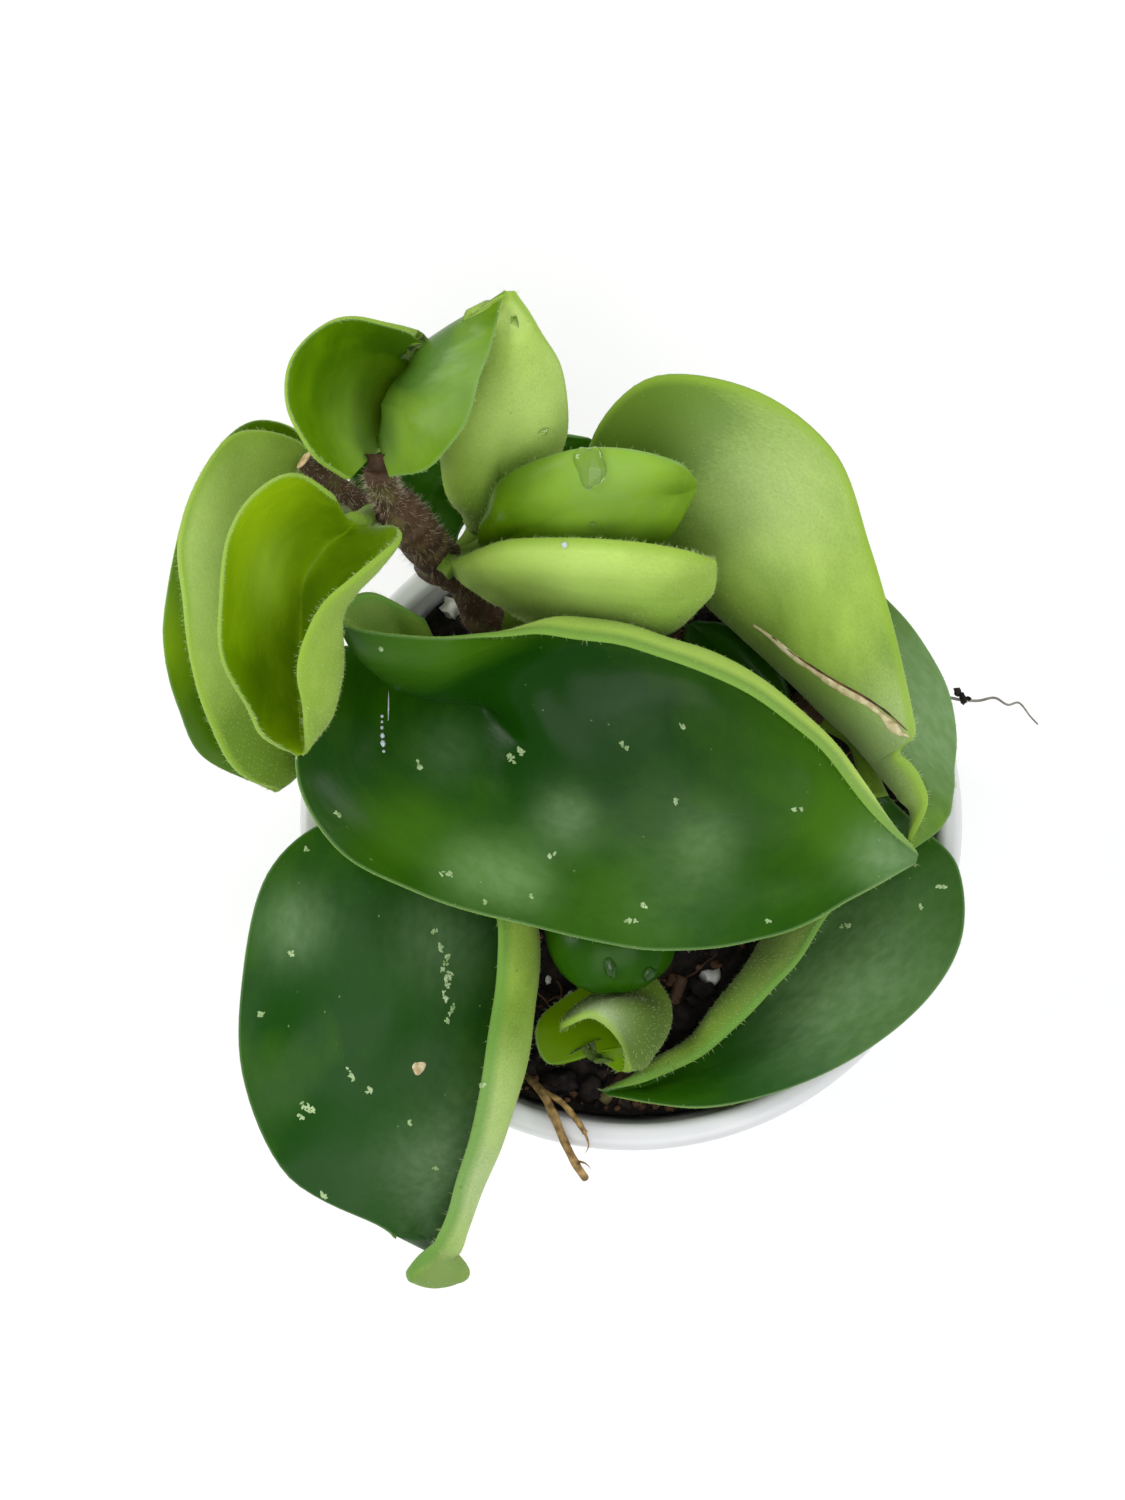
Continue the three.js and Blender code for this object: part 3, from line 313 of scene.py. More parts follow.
# Leaves, as the solids have them: a station runs across the blade, from the base to the tip of the leaf:
# left margin, midrib, right margin, left bow, right bow and roll of the left half,
# left and right as seen looking down on the glossy side towards the tip.
# Down is the share of the usual number of hairs.
# A swell is its place along the leaf, its place across it from -1 to 1, height, length and width.
LEAVES = {
    "leaf_front": {
        "look": "mature", "share": FOLDED_SHARE, "down": 0.3, "tip": (24, -6, 64),
        "stations": (
            ((-18, 14.5, 66), (-16.5, 10.5, 59), (-22.5, 13, 61.8), 0.3, 0, 0),
            ((-22.2, 15.8, 70.2), (-16, 10.5, 58.5), (-27.3, 12, 63.5), 1, -0.5, 0),
            ((-25, 14.1, 72), (-15.5, 10, 58.5), (-28.6, 6.5, 64.8), 2, -1, 0),
            ((-24, 12, 73.5), (-14.5, 9.5, 59), (-28.5, 0, 64.5), 2.8, -1.5, 0),
            ((-17.5, 11, 74.5), (-12.5, 9, 59.5), (-25, -5.5, 63.5), 2.4, -1.8, 0),
            ((-12, 11, 75), (-10.5, 7, 60), (-19, -8.5, 62.5), 0.6, -1.7, -1.6),
            ((-6.5, 11, 75), (-5.5, 2.5, 61), (-11, -11, 62), -1.8, -1.5, -3.8),
            ((4.5, 8.7, 74), (4.5, -1.5, 62), (1.5, -13.5, 62), -3, -1.2, -4.2),
            ((14.6, 3, 71), (13.5, -3.5, 62.5), (11.5, -12.5, 62.5), -2, -1, -2.4),
            ((20, -2.7, 67), (19.6, -5, 63.8), (18.5, -9.2, 63.5), -0.9, -0.5, -0.6),
        ),
        "swells": ((0.56, 0.1, 1.6, 0.1, 0.35), (0.78, 0.45, 0.7, 0.08, 0.3)),
        "petiole": ((-17, 10.5, 59.5), (-16, 12, 54.5), (-14, 14.5, 50), (-11, 17, 47.8)),
    },
    "leaf_lower_left": {
        "look": "mature", "share": FOLDED_SHARE, "down": 0.12,
        "base": (-14.5, -1.5, 55.2), "tip": (-19.5, -41.3, 50.3),
        "stations": (
            ((-12.8, -5, 57.5), (-14, -4.5, 54), (-21, -3.5, 57), -1, 0.5),
            ((-12.5, -8.5, 58.5), (-12, -6.5, 53), (-27, -2, 58), -1.5, 1.5),
            ((-11.8, -11.5, 59), (-10.4, -10, 52.7), (-32, -6.6, 58), -1.5, 1.5),
            ((-12, -16.5, 59), (-10, -15.5, 52.5), (-34, -15, 57), -1.5, 1),
            ((-12.9, -22.5, 58.5), (-11, -22, 52.5), (-34, -24, 55.5), -1.5, 0.6),
            ((-14.3, -29.5, 56.5), (-13, -29, 52.2), (-30, -32.5, 54), -1.2, 0.3),
            ((-15.9, -34.5, 54.8), (-15.5, -34.5, 51), (-22, -36.8, 52.5), -0.8, 0),
            ((-17.1, -37.5, 54), (-15.9, -38, 50.5), (-20.8, -37.6, 52), -0.3, 0),
            ((-17.4, -38.2, 53.2), (-16.3, -38.6, 51), (-18.3, -38.9, 48.6), 0, 0),
            ((-18.9, -39.5, 51.8), (-17.6, -39.6, 51.4), (-14.7, -40.65, 48.3), 0, 0),
            ((-19.65, -40.3, 51.2), (-18.7, -40.4, 51.1), (-15.4, -41.5, 48.5), 0, 0),
            ((-19.9, -40.7, 50.9), (-19.2, -40.9, 50.8), (-17, -41.9, 49.2), 0, 0),
        ),
        "swells": ((0.3, 0.55, 0.9, 0.12, 0.3), (0.62, 0.5, -0.6, 0.1, 0.3)),
        "petiole": ((-14.5, -1.8, 55), (-14, 0, 54.6), (-13, 1.3, 53), (-12, 2.2, 51.2)),
    },
    "leaf_lower_right": {
        "look": "mature", "share": FOLDED_SHARE,
        "base": (22, 1.5, 53), "tip": (-2.5, -25, 49.6),
        "stations": (
            ((25.2, -1, 52.5), (20.8, -2.5, 50.5), (20.5, -0.5, 55), 0, -0.6),
            ((29, -5, 52.6), (17.8, -7, 49.5), (20, -5, 57.5), 0.5, -1.1),
            ((29.1, -11.8, 52.8), (13.4, -11.7, 49), (17, -10, 57.5), 0.8, -1.1),
            ((25, -18, 52.8), (9.6, -16.3, 49), (13, -15.5, 57), 0.8, -0.9),
            ((17.2, -23.3, 52.5), (5.4, -21.3, 49), (8, -20.5, 54.5), 0.6, -0.7),
            ((7, -26.3, 52), (1.5, -24.2, 49.2), (3, -23.6, 51.6), 0.3, -0.4),
        ),
        "swells": ((0.45, -0.5, 0.7, 0.12, 0.3),),
        "petiole": ((21.8, 1, 52.8), (21, 4, 52.5), (20, 7, 51), (16.5, 9.5, 49)),
    },
    "leaf_upper_right": {
        "look": "bright", "share": FOLDED_SHARE, "down": 0.12,
        "base": (3, 22, 53.5), "tip": (24.6, -3.7, 55.5),
        "stations": (
            ((7, 24.5, 52.5), (4.5, 21, 54.5), (-2.5, 26, 62), 0, -1),
            ((12, 27.5, 52.5), (6, 20, 55.5), (-3.5, 30.5, 67), -0.4, -2),
            ((17, 25.5, 52.5), (7.5, 18.5, 56.5), (1.5, 34.5, 71), -0.4, -3),
            ((21.5, 21, 52.5), (9.5, 16, 57.5), (10, 32.7, 73), -0.3, -3.5),
            ((25.5, 16.5, 53), (12, 13, 58), (16.7, 27.3, 73), -0.2, -3),
            ((28, 12, 53), (15, 10.5, 58), (19.7, 19.7, 71), 0, -2.5),
            ((29, 6.5, 53.5), (18, 7.8, 58), (22, 13, 68), 0, -2),
            ((28.8, 3.2, 54.3), (20.5, 5.3, 57.4), (23.8, 6.9, 64.4), 0, -1.1),
            ((28.6, 1.8, 54.9), (21.5, 4.4, 57.1), (24.2, 4.9, 62.8), 0, -0.6),
            ((28.3, 0.7, 55.3), (22.4, 3.5, 56.9), (23.1, 3.8, 61.2), 0, -0.2),
            ((28.1, -0.4, 55.4), (23.2, 2.6, 56.7), (24, 3, 60.5), 0, -0.3),
            ((27.8, -1.2, 55.5), (24.2, 1.3, 56.4), (25, 1.9, 59.7), 0, -0.3),
            ((26.9, -2.4, 55.6), (25.1, -0.6, 56.1), (25.7, -0.3, 58.5), 0, -0.2),
        ),
        "petiole": ((3.3, 21.8, 53.7), (-3, 20.5, 52), (-8.5, 18.8, 50), (-13, 18, 49)),
    },
    "leaf_top_back": {
        "look": "bright", "base": (-13.8, 24.3, 58), "tip": (-10.5, 38, 82.8),
        "stations": (
            ((-9.5, 25, 61.5), (-12.5, 25.3, 61), (-15, 25, 62), -0.8, -0.8),
            ((-7, 28, 66), (-12, 27, 67.5), (-16.5, 26, 67), -1.2, -1.2),
            ((-6, 30.5, 70.5), (-11, 29, 74.5), (-16.5, 30, 71), -1.2, -1.2),
            ((-6.5, 34.2, 75), (-10.5, 31.7, 78.4), (-15, 33.8, 74.5), -0.8, -0.8),
            ((-8.2, 36.4, 79), (-10.2, 35.5, 80.2), (-12.6, 36.3, 79), 0, 0),
        ),
        "petiole": ((-13.8, 24, 58.3), (-15.3, 22.5, 57.3), (-17, 20.5, 56.5)),
    },
    "leaf_top_heart": {
        "look": "bright", "share": FOLDED_SHARE, "tip": (-11, 36.7, 86.2),
        "stations": (
            ((-23.5, 23, 80), (-21.5, 27.5, 73.5), (-20.5, 24, 77), -0.2, 1),
            ((-26.2, 24.4, 83.3), (-21.5, 29, 71.5), (-17.5, 24, 79), -0.2, 2.2),
            ((-27.9, 27.7, 85), (-21, 31, 70), (-15.5, 25.5, 80.5), -0.2, 3.2),
            ((-27.5, 31.9, 85), (-20.5, 32.3, 69.5), (-14, 27.5, 81.5), -0.2, 3.4),
            ((-24.7, 35.5, 83), (-19.4, 33.8, 72.5), (-13, 30.5, 82.5), -0.2, 3),
            ((-18.74, 35.55, 79.8), (-17.9, 34.9, 77.2), (-12, 33, 83.5), 0, 1.8),
            ((-15.85, 33.13, 75.5), (-14.5, 36.3, 80.8), (-11.5, 35, 84.7), 0, 0.6),
        ),
        "petiole": ((-21.5, 26.3, 75.8), (-21.5, 25, 75.4)), "stalk": "woody_stem",
    },
    "leaf_inner_back": {
        "look": "bright", "base": (-13, 22, 61), "tip": (5, 24, 74.5),
        "stations": (
            ((-13, 23.5, 67.5), (-11.5, 21.5, 65.5), (-10.5, 20, 63), 0.4, 0.4),
            ((-10.8, 25.3, 73.2), (-8.5, 22, 71), (-7.5, 19.5, 64.5), 0.6, 0.6),
            ((-6, 26.4, 76.3), (-4.5, 22.5, 74), (-4, 19, 66), 0.6, 0.6),
            ((-1.3, 26.4, 77.3), (-0.5, 23, 75), (-0.5, 19, 67.5), 0.5, 0.5),
            ((3.3, 25.3, 77.1), (3, 23.5, 74.5), (2.5, 20.5, 70.5), 0.3, 0.3),
        ),
        "petiole": ((-12.9, 21.9, 61.4), (-15, 21.5, 60), (-17, 21, 60)),
    },
    "leaf_inner_front": {
        "look": "downy", "keel": 0.35, "base": (-16, 19.8, 63.5), "tip": (6.6, 18, 72.2),
        "stations": (
            ((-14, 18.5, 61.5), (-13.5, 18.5, 65.5), (-14, 20, 67.5), -0.4, -0.4),
            ((-10.5, 17, 59.5), (-10, 17.5, 69), (-10.5, 20, 72), -0.9, -0.9),
            ((-6.5, 15, 59), (-5.5, 16.5, 71), (-5.5, 19.5, 74.5), -1.1, -1),
            ((-0.5, 14, 60), (-1, 16, 72), (-1, 19, 75.5), -1.1, -1),
            ((3, 14.5, 62.5), (3, 15.5, 72), (2.5, 18.5, 75.5), -0.9, -0.8),
            ((5.5, 16, 66.5), (5.5, 16.5, 71.5), (5, 18, 75), -0.4, -0.4),
        ),
        "petiole": ((-15.6, 19.6, 63.7), (-18, 21, 63)),
    },
    "leaf_left_young": {
        "look": "young", "share": FOLDED_SHARE,
        "base": (-23.5, 21, 73.5), "tip": (-27.6, 1.2, 74.6),
        "stations": (
            ((-20, 19.5, 78.5), (-24.5, 20, 73.5), (-24.7, 21.3, 80), -0.3, -0.2),
            ((-19.5, 18, 80.5), (-26, 19, 73.5), (-27.5, 22.2, 84.5), -1, -0.2),
            ((-20.5, 16.5, 82), (-27.5, 17, 73), (-30.4, 20.2, 86), -1.3, -0.2),
            ((-22.7, 14, 84), (-28, 15.5, 72.5), (-32.4, 16.6, 86), -1.2, -0.2),
            ((-25.1, 11.5, 85), (-28, 13.5, 72.5), (-32.9, 11.5, 85.5), -1.4, -0.2),
            ((-26.5, 8.5, 85.5), (-28, 11, 72.5), (-32.9, 7.5, 84), -2, -0.2),
            ((-27, 6, 84.5), (-28, 8, 72.5), (-31.4, 4.1, 81.5), -2.3, -0.2),
            ((-26.9, 3.5, 81), (-28, 4.5, 73), (-30.2, 2.1, 78.5), -1.7, -0.1),
        ),
        "petiole": ((-23.6, 20.8, 73.4), (-23, 22, 71), (-22.5, 23, 68.5)),
    },
    "leaf_left_outer": {
        "look": "downy", "share": FOLDED_SHARE,
        "base": (-25, 25.5, 64.5), "tip": (-31.5, 0.7, 59),
        "stations": (
            ((-28.5, 29, 70), (-26, 24.5, 62.5), (-28.5, 30.5, 66), -0.5, -0.5),
            ((-33.5, 29, 73), (-26.5, 22.5, 61.5), (-32.5, 31.5, 68), -1, -0.8),
            ((-36.5, 25, 74), (-27, 20, 60.5), (-35.7, 28.6, 69), -1.5, -1),
            ((-38.3, 19.5, 73.5), (-27, 17, 60), (-38.4, 23.3, 68.5), -1.5, -1),
            ((-38, 14.5, 72), (-27.5, 13.5, 59.5), (-40.3, 16, 66), -1.5, -1),
            ((-37.5, 10, 70), (-28, 9.5, 59), (-40.5, 12, 64.5), -1.5, -0.8),
            ((-36.5, 6, 67), (-29, 6, 58.5), (-39.5, 7.5, 62), -1, -0.5),
            ((-34.5, 2, 63), (-30, 3, 58.5), (-37.5, 3.5, 60), -0.5, 0),
        ),
        "petiole": ((-25.2, 25.2, 64.2), (-24, 24.5, 66), (-23, 24, 67.5)),
    },
    "leaf_rear": {
        "look": "mature", "base": (-16.5, 23, 54.5), "tip": (-3.5, 32.7, 58),
        "stations": (
            ((-21, 24.5, 56), (-17.5, 25, 55.5), (-15.5, 25, 54.5), -0.5, -0.3),
            ((-25, 27.5, 58), (-18, 28, 57), (-14, 26.5, 55.5), -1, -0.5),
            ((-23.5, 31, 60), (-15.5, 30, 58), (-10.5, 27.5, 56.5), -1, -0.5),
            ((-16, 33.5, 60.5), (-10, 31, 58), (-7, 29.5, 57.5), -0.5, -0.3),
        ),
        "petiole": ((-16.6, 23.3, 54.6), (-16, 21, 54)),
    },
    "leaf_small_dark": {
        "look": "mature", "base": (-2, -5, 52.5), "tip": (-1.5, -16.5, 55),
        "stations": (
            ((2, -7.5, 54.5), (-2, -8.5, 56.5), (-6, -7.5, 54.5), 1, 1),
            ((3.5, -11.5, 55.5), (-2, -12.5, 58.2), (-7.6, -11, 55.5), 1.2, 1.2),
            ((3, -14.2, 55), (-2, -15.3, 57.2), (-6.3, -14.2, 55), 1, 1),
        ),
        "petiole": ((-2, -5.3, 52.3), (-5, -2, 52), (-8.5, 0.8, 52), (-12, 1.5, 52)),
    },
    "leaf_small_curl": {
        "look": "young", "share": FOLDED_SHARE,
        "base": (0, -13.5, 49.3), "tip": (-1, -23.2, 52),
        "stations": (
            ((-4.5, -17.5, 52), (2.4, -15.9, 50.5), (-6.5, -16.8, 50), -0.8, -0.4),
            ((-6.5, -19.5, 54.8), (2.8, -17.8, 51.8), (-8.6, -19.5, 51.5), -1.3, -0.8),
            ((-3.5, -19, 56.5), (2, -20, 53.3), (-7.5, -22.5, 51.5), -1.5, -0.8),
            ((-1, -20.7, 55.5), (0.6, -21.6, 53), (-4, -21.8, 51), -1, -0.4),
        ),
        "petiole": ((0, -13.2, 49.3), (-2.5, -8, 48.3), (-7.5, -2.5, 48.2), (-12, 1.5, 48.5)),
    },
    "leaf_shade": {
        "look": "mature", "base": (14.5, 8, 50), "tip": (5.3, 17.2, 52),
        "stations": (
            ((11, 7, 51), (12.5, 9.5, 51.2), (14, 11.5, 51.5), 0.6, 0.6),
            ((7, 9, 52), (10, 12, 52.3), (12.5, 14, 52.2), 0.8, 0.8),
            ((5, 13, 52), (7.5, 14.8, 52.4), (10, 16.5, 52.5), 0.6, 0.6),
        ),
        "petiole": ((14.3, 8.2, 50.1), (17, 9.8, 49)),
    },
}

# Where the glossy or the downy face is fresher (above 0) or darker (below 0), as its own tone and as painted light and
# shade, or paled by dried water and by painted sheen: place in mm, radius in mm, tint, frost_and_sheen
TONES = {
    "leaf_front": (
        ((-24.4, 2.3, 61.9), 4, -0.2, 0.0),
        ((-20.5, 10.5, 73.2), 5, 0.6, 0.0),
        ((-22, 15.5, 70), 4.5, -0.9, 0.15),
        ((-12, 7.5, 66), 7, -0.5, 0.0),
        ((-3, 4.5, 65), 6, -0.35, 0.0),
        ((-16.1, 4.2, 59.6), 3, -0.1, 0.15),
        ((-5.7, -1.9, 61.4), 2.4, 0.1, 0.38),
        ((-14, -6.5, 60.8), 3, 0.5, 0.3),
        ((-10, -7.5, 60.8), 3, 0.5, 0.35),
        ((6.0, -4.4, 61.8), 3, 0.2, 0.3),
        ((0, 5.5, 65.5), 3.5, -0.2, 0.12),
        ((3, -9, 61.5), 5, -0.1, 0.12),
        ((-20.5, -3.5, 60.8), 4, 0.55, 0.0),
        ((-1, -9.7, 61.2), 5, 0.3, 0.0),
        ((16.6, -3.2, 63.4), 4, 0.3, 0.0),
        ((21.5, -5.6, 64), 3, 0.2, 0.5),
        ((-14, 10, 73), 4, 0.6, 0.0),
        ((-8.5, 10.2, 73.2), 3.5, 0.5, 0.0),
        ((-3, 9.6, 73), 3.5, 0.5, 0.05),
        ((2.5, 8.3, 72), 4, 0.7, 0.05),
        ((7, 6.2, 71), 4.5, 0.8, 0.05),
        ((11.5, 3.4, 69.5), 4.5, 0.7, 0.0),
        ((15.2, 0, 67.5), 4.5, 0.45, 0.0),
        ((18.5, -3.2, 65.7), 3.5, 0.5, 0.0),
    ),
    "leaf_lower_left": (
        ((-22, -14, 55), 7, -0.45, 0.0),
        ((-29.5, -10.9, 58), 3.2, 0.1, 0.4),
        ((-17, -12, 54.5), 5, -0.2, 0.25),
        ((-22.4, -29.9, 53.8), 6, -1.1, 0.0),
        ((-12, -19, 59), 4, -0.25, 0.0),
        ((-30.5, -17, 57), 4, -0.2, 0.0),
        ((-28, -22, 56), 5, 0.1, 0.0),
        ((-14.5, -33.2, 55.6), 6, 0.0, 0.6),
        ((-13, -25, 57.5), 4, 0.0, 0.3),
        ((-17.5, -40.5, 50), 2.6, -0.9, 0.2),
    ),
    "leaf_lower_right": (
        ((21, -14.2, 52.8), 9, 0.15, 0.33),
        ((16, -17.5, 51.5), 4, 0.2, 0.15),
        ((14.9, -23, 52.3), 6, -0.2, 0.05),
        ((9.9, -17.5, 56.1), 7, -0.5, 0.0),
        ((18, -8, 57), 6, -0.5, 0.0),
    ),
    "leaf_upper_right": (
        ((4.4, 30.3, 71.6), 6, -0.5, 0.0),
        ((6, 20, 58), 6, -0.6, 0.0),
        ((11, 24, 72), 8, 0.1, 0.35),
        ((17.7, 14.3, 68.9), 6, 0.1, 0.0),
        ((22.3, 11, 67.6), 2.5, -0.3, 0.0),
        ((23.9, 6.4, 64.1), 5, 0.1, 0.3),
        ((26.5, 8, 54), 9, -0.35, 0.6),
        ((20, 16, 55), 7, -0.4, 0.2),
        ((12, 11, 60), 4, -0.6, 0.0),
        ((17, 7.5, 60.5), 4, -0.6, 0.0),
        ((21, 4.5, 60), 3.5, -0.5, 0.0),
        ((-1, 31, 68), 6, -0.4, 0.0),
    ),
    "leaf_top_back": (
        ((-8.8, 30, 75.8), 6, 0.5, 0.25),
        ((-10.4, 36.3, 81.3), 1.8, 1.0, 0.3),
        ((-12, 26, 64), 5, -0.6, 0.0),
    ),
    "leaf_top_heart": (
        ((-26, 31.8, 79.5), 5, -0.2, 0.0),
        ((-21, 27.3, 76), 4, 1.1, 0.45),
        ((-17.8, 34.2, 79), 2.6, -2.2, 0.0),
        ((-14.4, 31.2, 81.8), 4, 0.2, 0.35),
    ),
    "leaf_inner_back": (
        ((-3, 23.6, 76.8), 6, 0.9, 0.35),
        ((-10.8, 24.3, 73.7), 3, -0.1, 0.0),
    ),
    "leaf_inner_front": (
        ((-4.7, 16, 73.7), 8, 0.6, 0.2),
        ((-11, 17.7, 71.4), 3.5, 0.6, 0.0),
    ),
    "leaf_left_young": (
        ((-29.9, 20.3, 85.6), 6, 0.3, 0.0),
        ((-32.1, 4.7, 81.8), 4, -0.4, 0.0),
        ((-30.3, 15.3, 78.7), 3, 0.3, 0.15),
    ),
    "leaf_left_outer": (
        ((-37, 18.1, 73.4), 8, 0.4, 0.3),
        ((-30, 8, 62), 6, -0.4, 0.0),
        ((-34, 3.5, 62), 5, -0.7, 0.0),
        ((-40, 13.4, 65), 4, 0.5, 0.0),
    ),
    "leaf_small_curl": (
        ((-6, -19.5, 54), 5, -0.9, 0.0),
        ((1, -20, 55.5), 5, -1.6, 0.0),
        ((-4, -20.5, 52), 3, -1.6, 0.0),
        ((-3.5, -19, 57.3), 2.2, 0.0, 0.8),
    ),
}


# Colours


def linear(code):
    """Linear red, green and blue of an sRGB hex code: c/12.92 below 0.04045, else ((c + 0.055)/1.055)^2.4."""
    parts = np.array([int(code[i:i + 2], 16) for i in (1, 3, 5)]) / 255
    return tuple(np.where(parts <= 0.04045, parts / 12.92, ((parts + 0.055) / 1.055) ** 2.4).tolist())


def opaque(code):
    """Colour of an sRGB hex code with an alpha of 1."""
    return (*linear(code), 1.0)


def colour_property(name, description, code):
    """A colour that a user can change, from its sRGB hex code."""
    return FloatVectorProperty(name=name, description=description, subtype="COLOR", size=3, min=0, max=1,
                               default=linear(code))


# Settings


class LeafSettings(bpy.types.PropertyGroup):
    """Colours and fineness of the blades."""

    mature_deep: colour_property("Mature, deep", "Glossy face of an old blade where it is darkest", "#133f02")
    mature_fresh: colour_property("Mature, fresh", "Glossy face of an old blade where light comes through",
                                  "#3c6708")
    bright_deep: colour_property("Bright, deep", "Glossy face of a younger blade where it is darkest", "#436901")
    bright_fresh: colour_property("Bright, fresh", "Glossy face of a younger blade where it is lightest", "#7fa608")
    young_deep: colour_property("Young, deep", "Glossy face of the youngest blade where it is darkest", "#5f8202")
    young_fresh: colour_property("Young, fresh", "Glossy face of the youngest blade where it is lightest", "#9dbf14")
    down_deep: colour_property("Downy side, deep", "Downy underside where it is darkest", "#5f8012")
    down_fresh: colour_property("Downy side, fresh", "Downy underside where it is lightest", "#a8c650")
    fineness: IntProperty(name="Fineness", description="Columns of faces across a blade", default=44, min=12, max=80)


class HairSettings(bpy.types.PropertyGroup):
    """Down on the undersides, margins and stems."""

    down_length: FloatProperty(name="Down length", description="Length of the down on an underside",
                               default=0.32 * MM, min=0, unit="LENGTH", precision=5)
    fringe_length: FloatProperty(name="Fringe length", description="Length of the hairs along a margin",
                                 default=0.5 * MM, min=0, unit="LENGTH", precision=5)
    width: FloatProperty(name="Width", description="Width of a hair at its root",
                         default=0.03 * MM, min=0, unit="LENGTH", precision=5)
    density: FloatProperty(name="Density", description="Hairs on a square millimetre of underside",
                           default=6.0, min=0)


class PotSettings(bpy.types.PropertyGroup):
    """Sizes of the pot and what fills it."""

    rim_diameter: FloatProperty(name="Rim diameter", description="Outside of the rolled lip",
                                default=RIM_DIAMETER * MM, min=0, unit="LENGTH")
    height: FloatProperty(name="Height", description="From the surface it stands on to the top of the lip",
                          default=POT_HEIGHT * MM, min=0, unit="LENGTH")
    crumbs: IntProperty(name="Crumbs", description="Crumbs of soil on the surface", default=2200, min=0)
    perlite: IntProperty(name="Perlite", description="White grains of perlite on the surface", default=26, min=0)


class PlantSettings(bpy.types.PropertyGroup):
    """All settings of the plant."""

    leaves: PointerProperty(type=LeafSettings)
    hairs: PointerProperty(type=HairSettings)
    pot: PointerProperty(type=PotSettings)


# Curves and surfaces


def unit(vectors):
    """Vectors of length 1 in the same directions."""
    return vectors / np.maximum(np.linalg.norm(vectors, axis=-1, keepdims=True), 1e-12)


def catmull(points, t):
    """Curve through points, t from 0 to 1, an equal share of t between each two: a cubic between a point and
    the next, whose slope at each point is half the way from the point before it to the point after it."""
    points = np.asarray(points, float)
    padded = np.vstack([2 * points[0] - points[1], points, 2 * points[-1] - points[-2]])
    last = len(points) - 1
    x = np.clip(t, 0, 1) * last
    k = np.minimum(x.astype(int), last - 1)
    w = (x - k)[..., None]
    before, start, end, after = padded[k], padded[k + 1], padded[k + 2], padded[k + 3]
    leave, arrive = (end - before) / 2, (after - start) / 2
    return ((2 * w**3 - 3 * w**2 + 1) * start + (w**3 - 2 * w**2 + w) * leave
            + (3 * w**2 - 2 * w**3) * end + (w**3 - w**2) * arrive)


def along(points):
    """Direction of a row of points at each of them: from the one before to the one after."""
    spread = np.vstack([points[:1], points, points[-1:]])
    return unit(spread[2:] - spread[:-2])


@lru_cache(maxsize=None)
def leaf_lines(name):
    """Curves that shape a blade, as control points from base to tip: both margins and the midrib, the glossy-side
    normal of each half, which is square to its way across and to the mean way along, and the lifts."""
    leaf = LEAVES[name]
    left, rib, right = (np.array([row[k] for row in leaf["stations"]], float) for k in range(3))
    lift = np.array([(*row[3:], 0)[:3] for row in leaf["stations"]], float)

    def end(point, width, k):
        """Both margins and the midrib of a narrow end, square to the blade as the station beside it is."""
        across = unit(right[k] - left[k]) * width / 2
        return np.array([point - across, point, point + across], float)

    tip = end(np.array(leaf["tip"], float), TIP_WIDTH, -1)
    ends = [end(np.array(leaf["base"], float), BASE_WIDTH, 0)] if "base" in leaf else []
    left, rib, right = (np.vstack([*[e[k:k + 1] for e in ends], line, tip[k:k + 1]])
                        for k, line in enumerate((left, rib, right)))
    lift = np.vstack([*[np.zeros((1, 3)) for _ in ends], lift, np.zeros((1, 3))])
    normals = [unit(np.cross(along(edge) + along(rib), edge - rib)) * side
               for edge, side in ((left, 1), (right, -1))]
    return {"left": left, "rib": rib, "right": right, "lift": lift,
            "left_normal": normals[0], "right_normal": normals[1]}


def middle(name, t, s):
    """Middle surface of a blade, t from base to tip and s from -1 at the left margin to 1 at the right one:
    midrib + (margin - midrib)·|s| + normal·(bow·4|s|(1 - |s|) + roll·6.75|s|²(1 - |s|))."""
    lines = leaf_lines(name)
    t, s = np.broadcast_arrays(t, s)
    left = (s < 0)[..., None]
    side = np.abs(s)[..., None]
    edge = np.where(left, catmull(lines["left"], t), catmull(lines["right"], t))
    normal = unit(np.where(left, catmull(lines["left_normal"], t), catmull(lines["right_normal"], t)))
    rib = catmull(lines["rib"], t)
    lift = catmull(lines["lift"], t)
    bow = np.where(left, lift[..., :1], lift[..., 1:2]) * BOW_SCALE * side * (1 - side)
    roll = np.where(left, lift[..., 2:], 0) * ROLL_SCALE * side**2 * (1 - side)
    return rib + (edge - rib) * side + normal * (bow + roll)


def rounded_middle(name, t, s):
    """The middle surface with its fold rounded: a weighted mean of the surface at five places across the blade,
    which draw together towards the margins."""
    keel = LEAVES[name].get("keel", KEEL)
    reach = keel * np.minimum(1, (1 - np.abs(s)) / (2 * keel))
    taps = {-1: 1, -0.5: 2, 0: 3, 0.5: 2, 1: 1}
    return sum(weight * middle(name, t, s + step * reach) for step, weight in taps.items()) / sum(taps.values())


def grid_normals(points):
    """Unit normals of a grid of points on the side from which across (columns) turns left into along (rows)."""
    return unit(np.cross(np.gradient(points, axis=1), np.gradient(points, axis=0)))


def ripples(x, y, seed, shortest, longest, waves=12):
    """Uneven relief between about -1 and 1: a sum of sine waves in random directions, with wavelengths between
    the shortest and the longest, each as high as it is long."""
    rng = np.random.default_rng(seed)
    length = np.exp(rng.uniform(np.log(shortest), np.log(longest), waves))
    turn, phase = rng.uniform(0, 2 * np.pi, (2, waves))
    parts = [size * np.sin(2 * np.pi * (x * np.cos(a) + y * np.sin(a)) / size + p)
             for size, a, p in zip(length, turn, phase)]
    return sum(parts) / np.sqrt((length**2).sum())


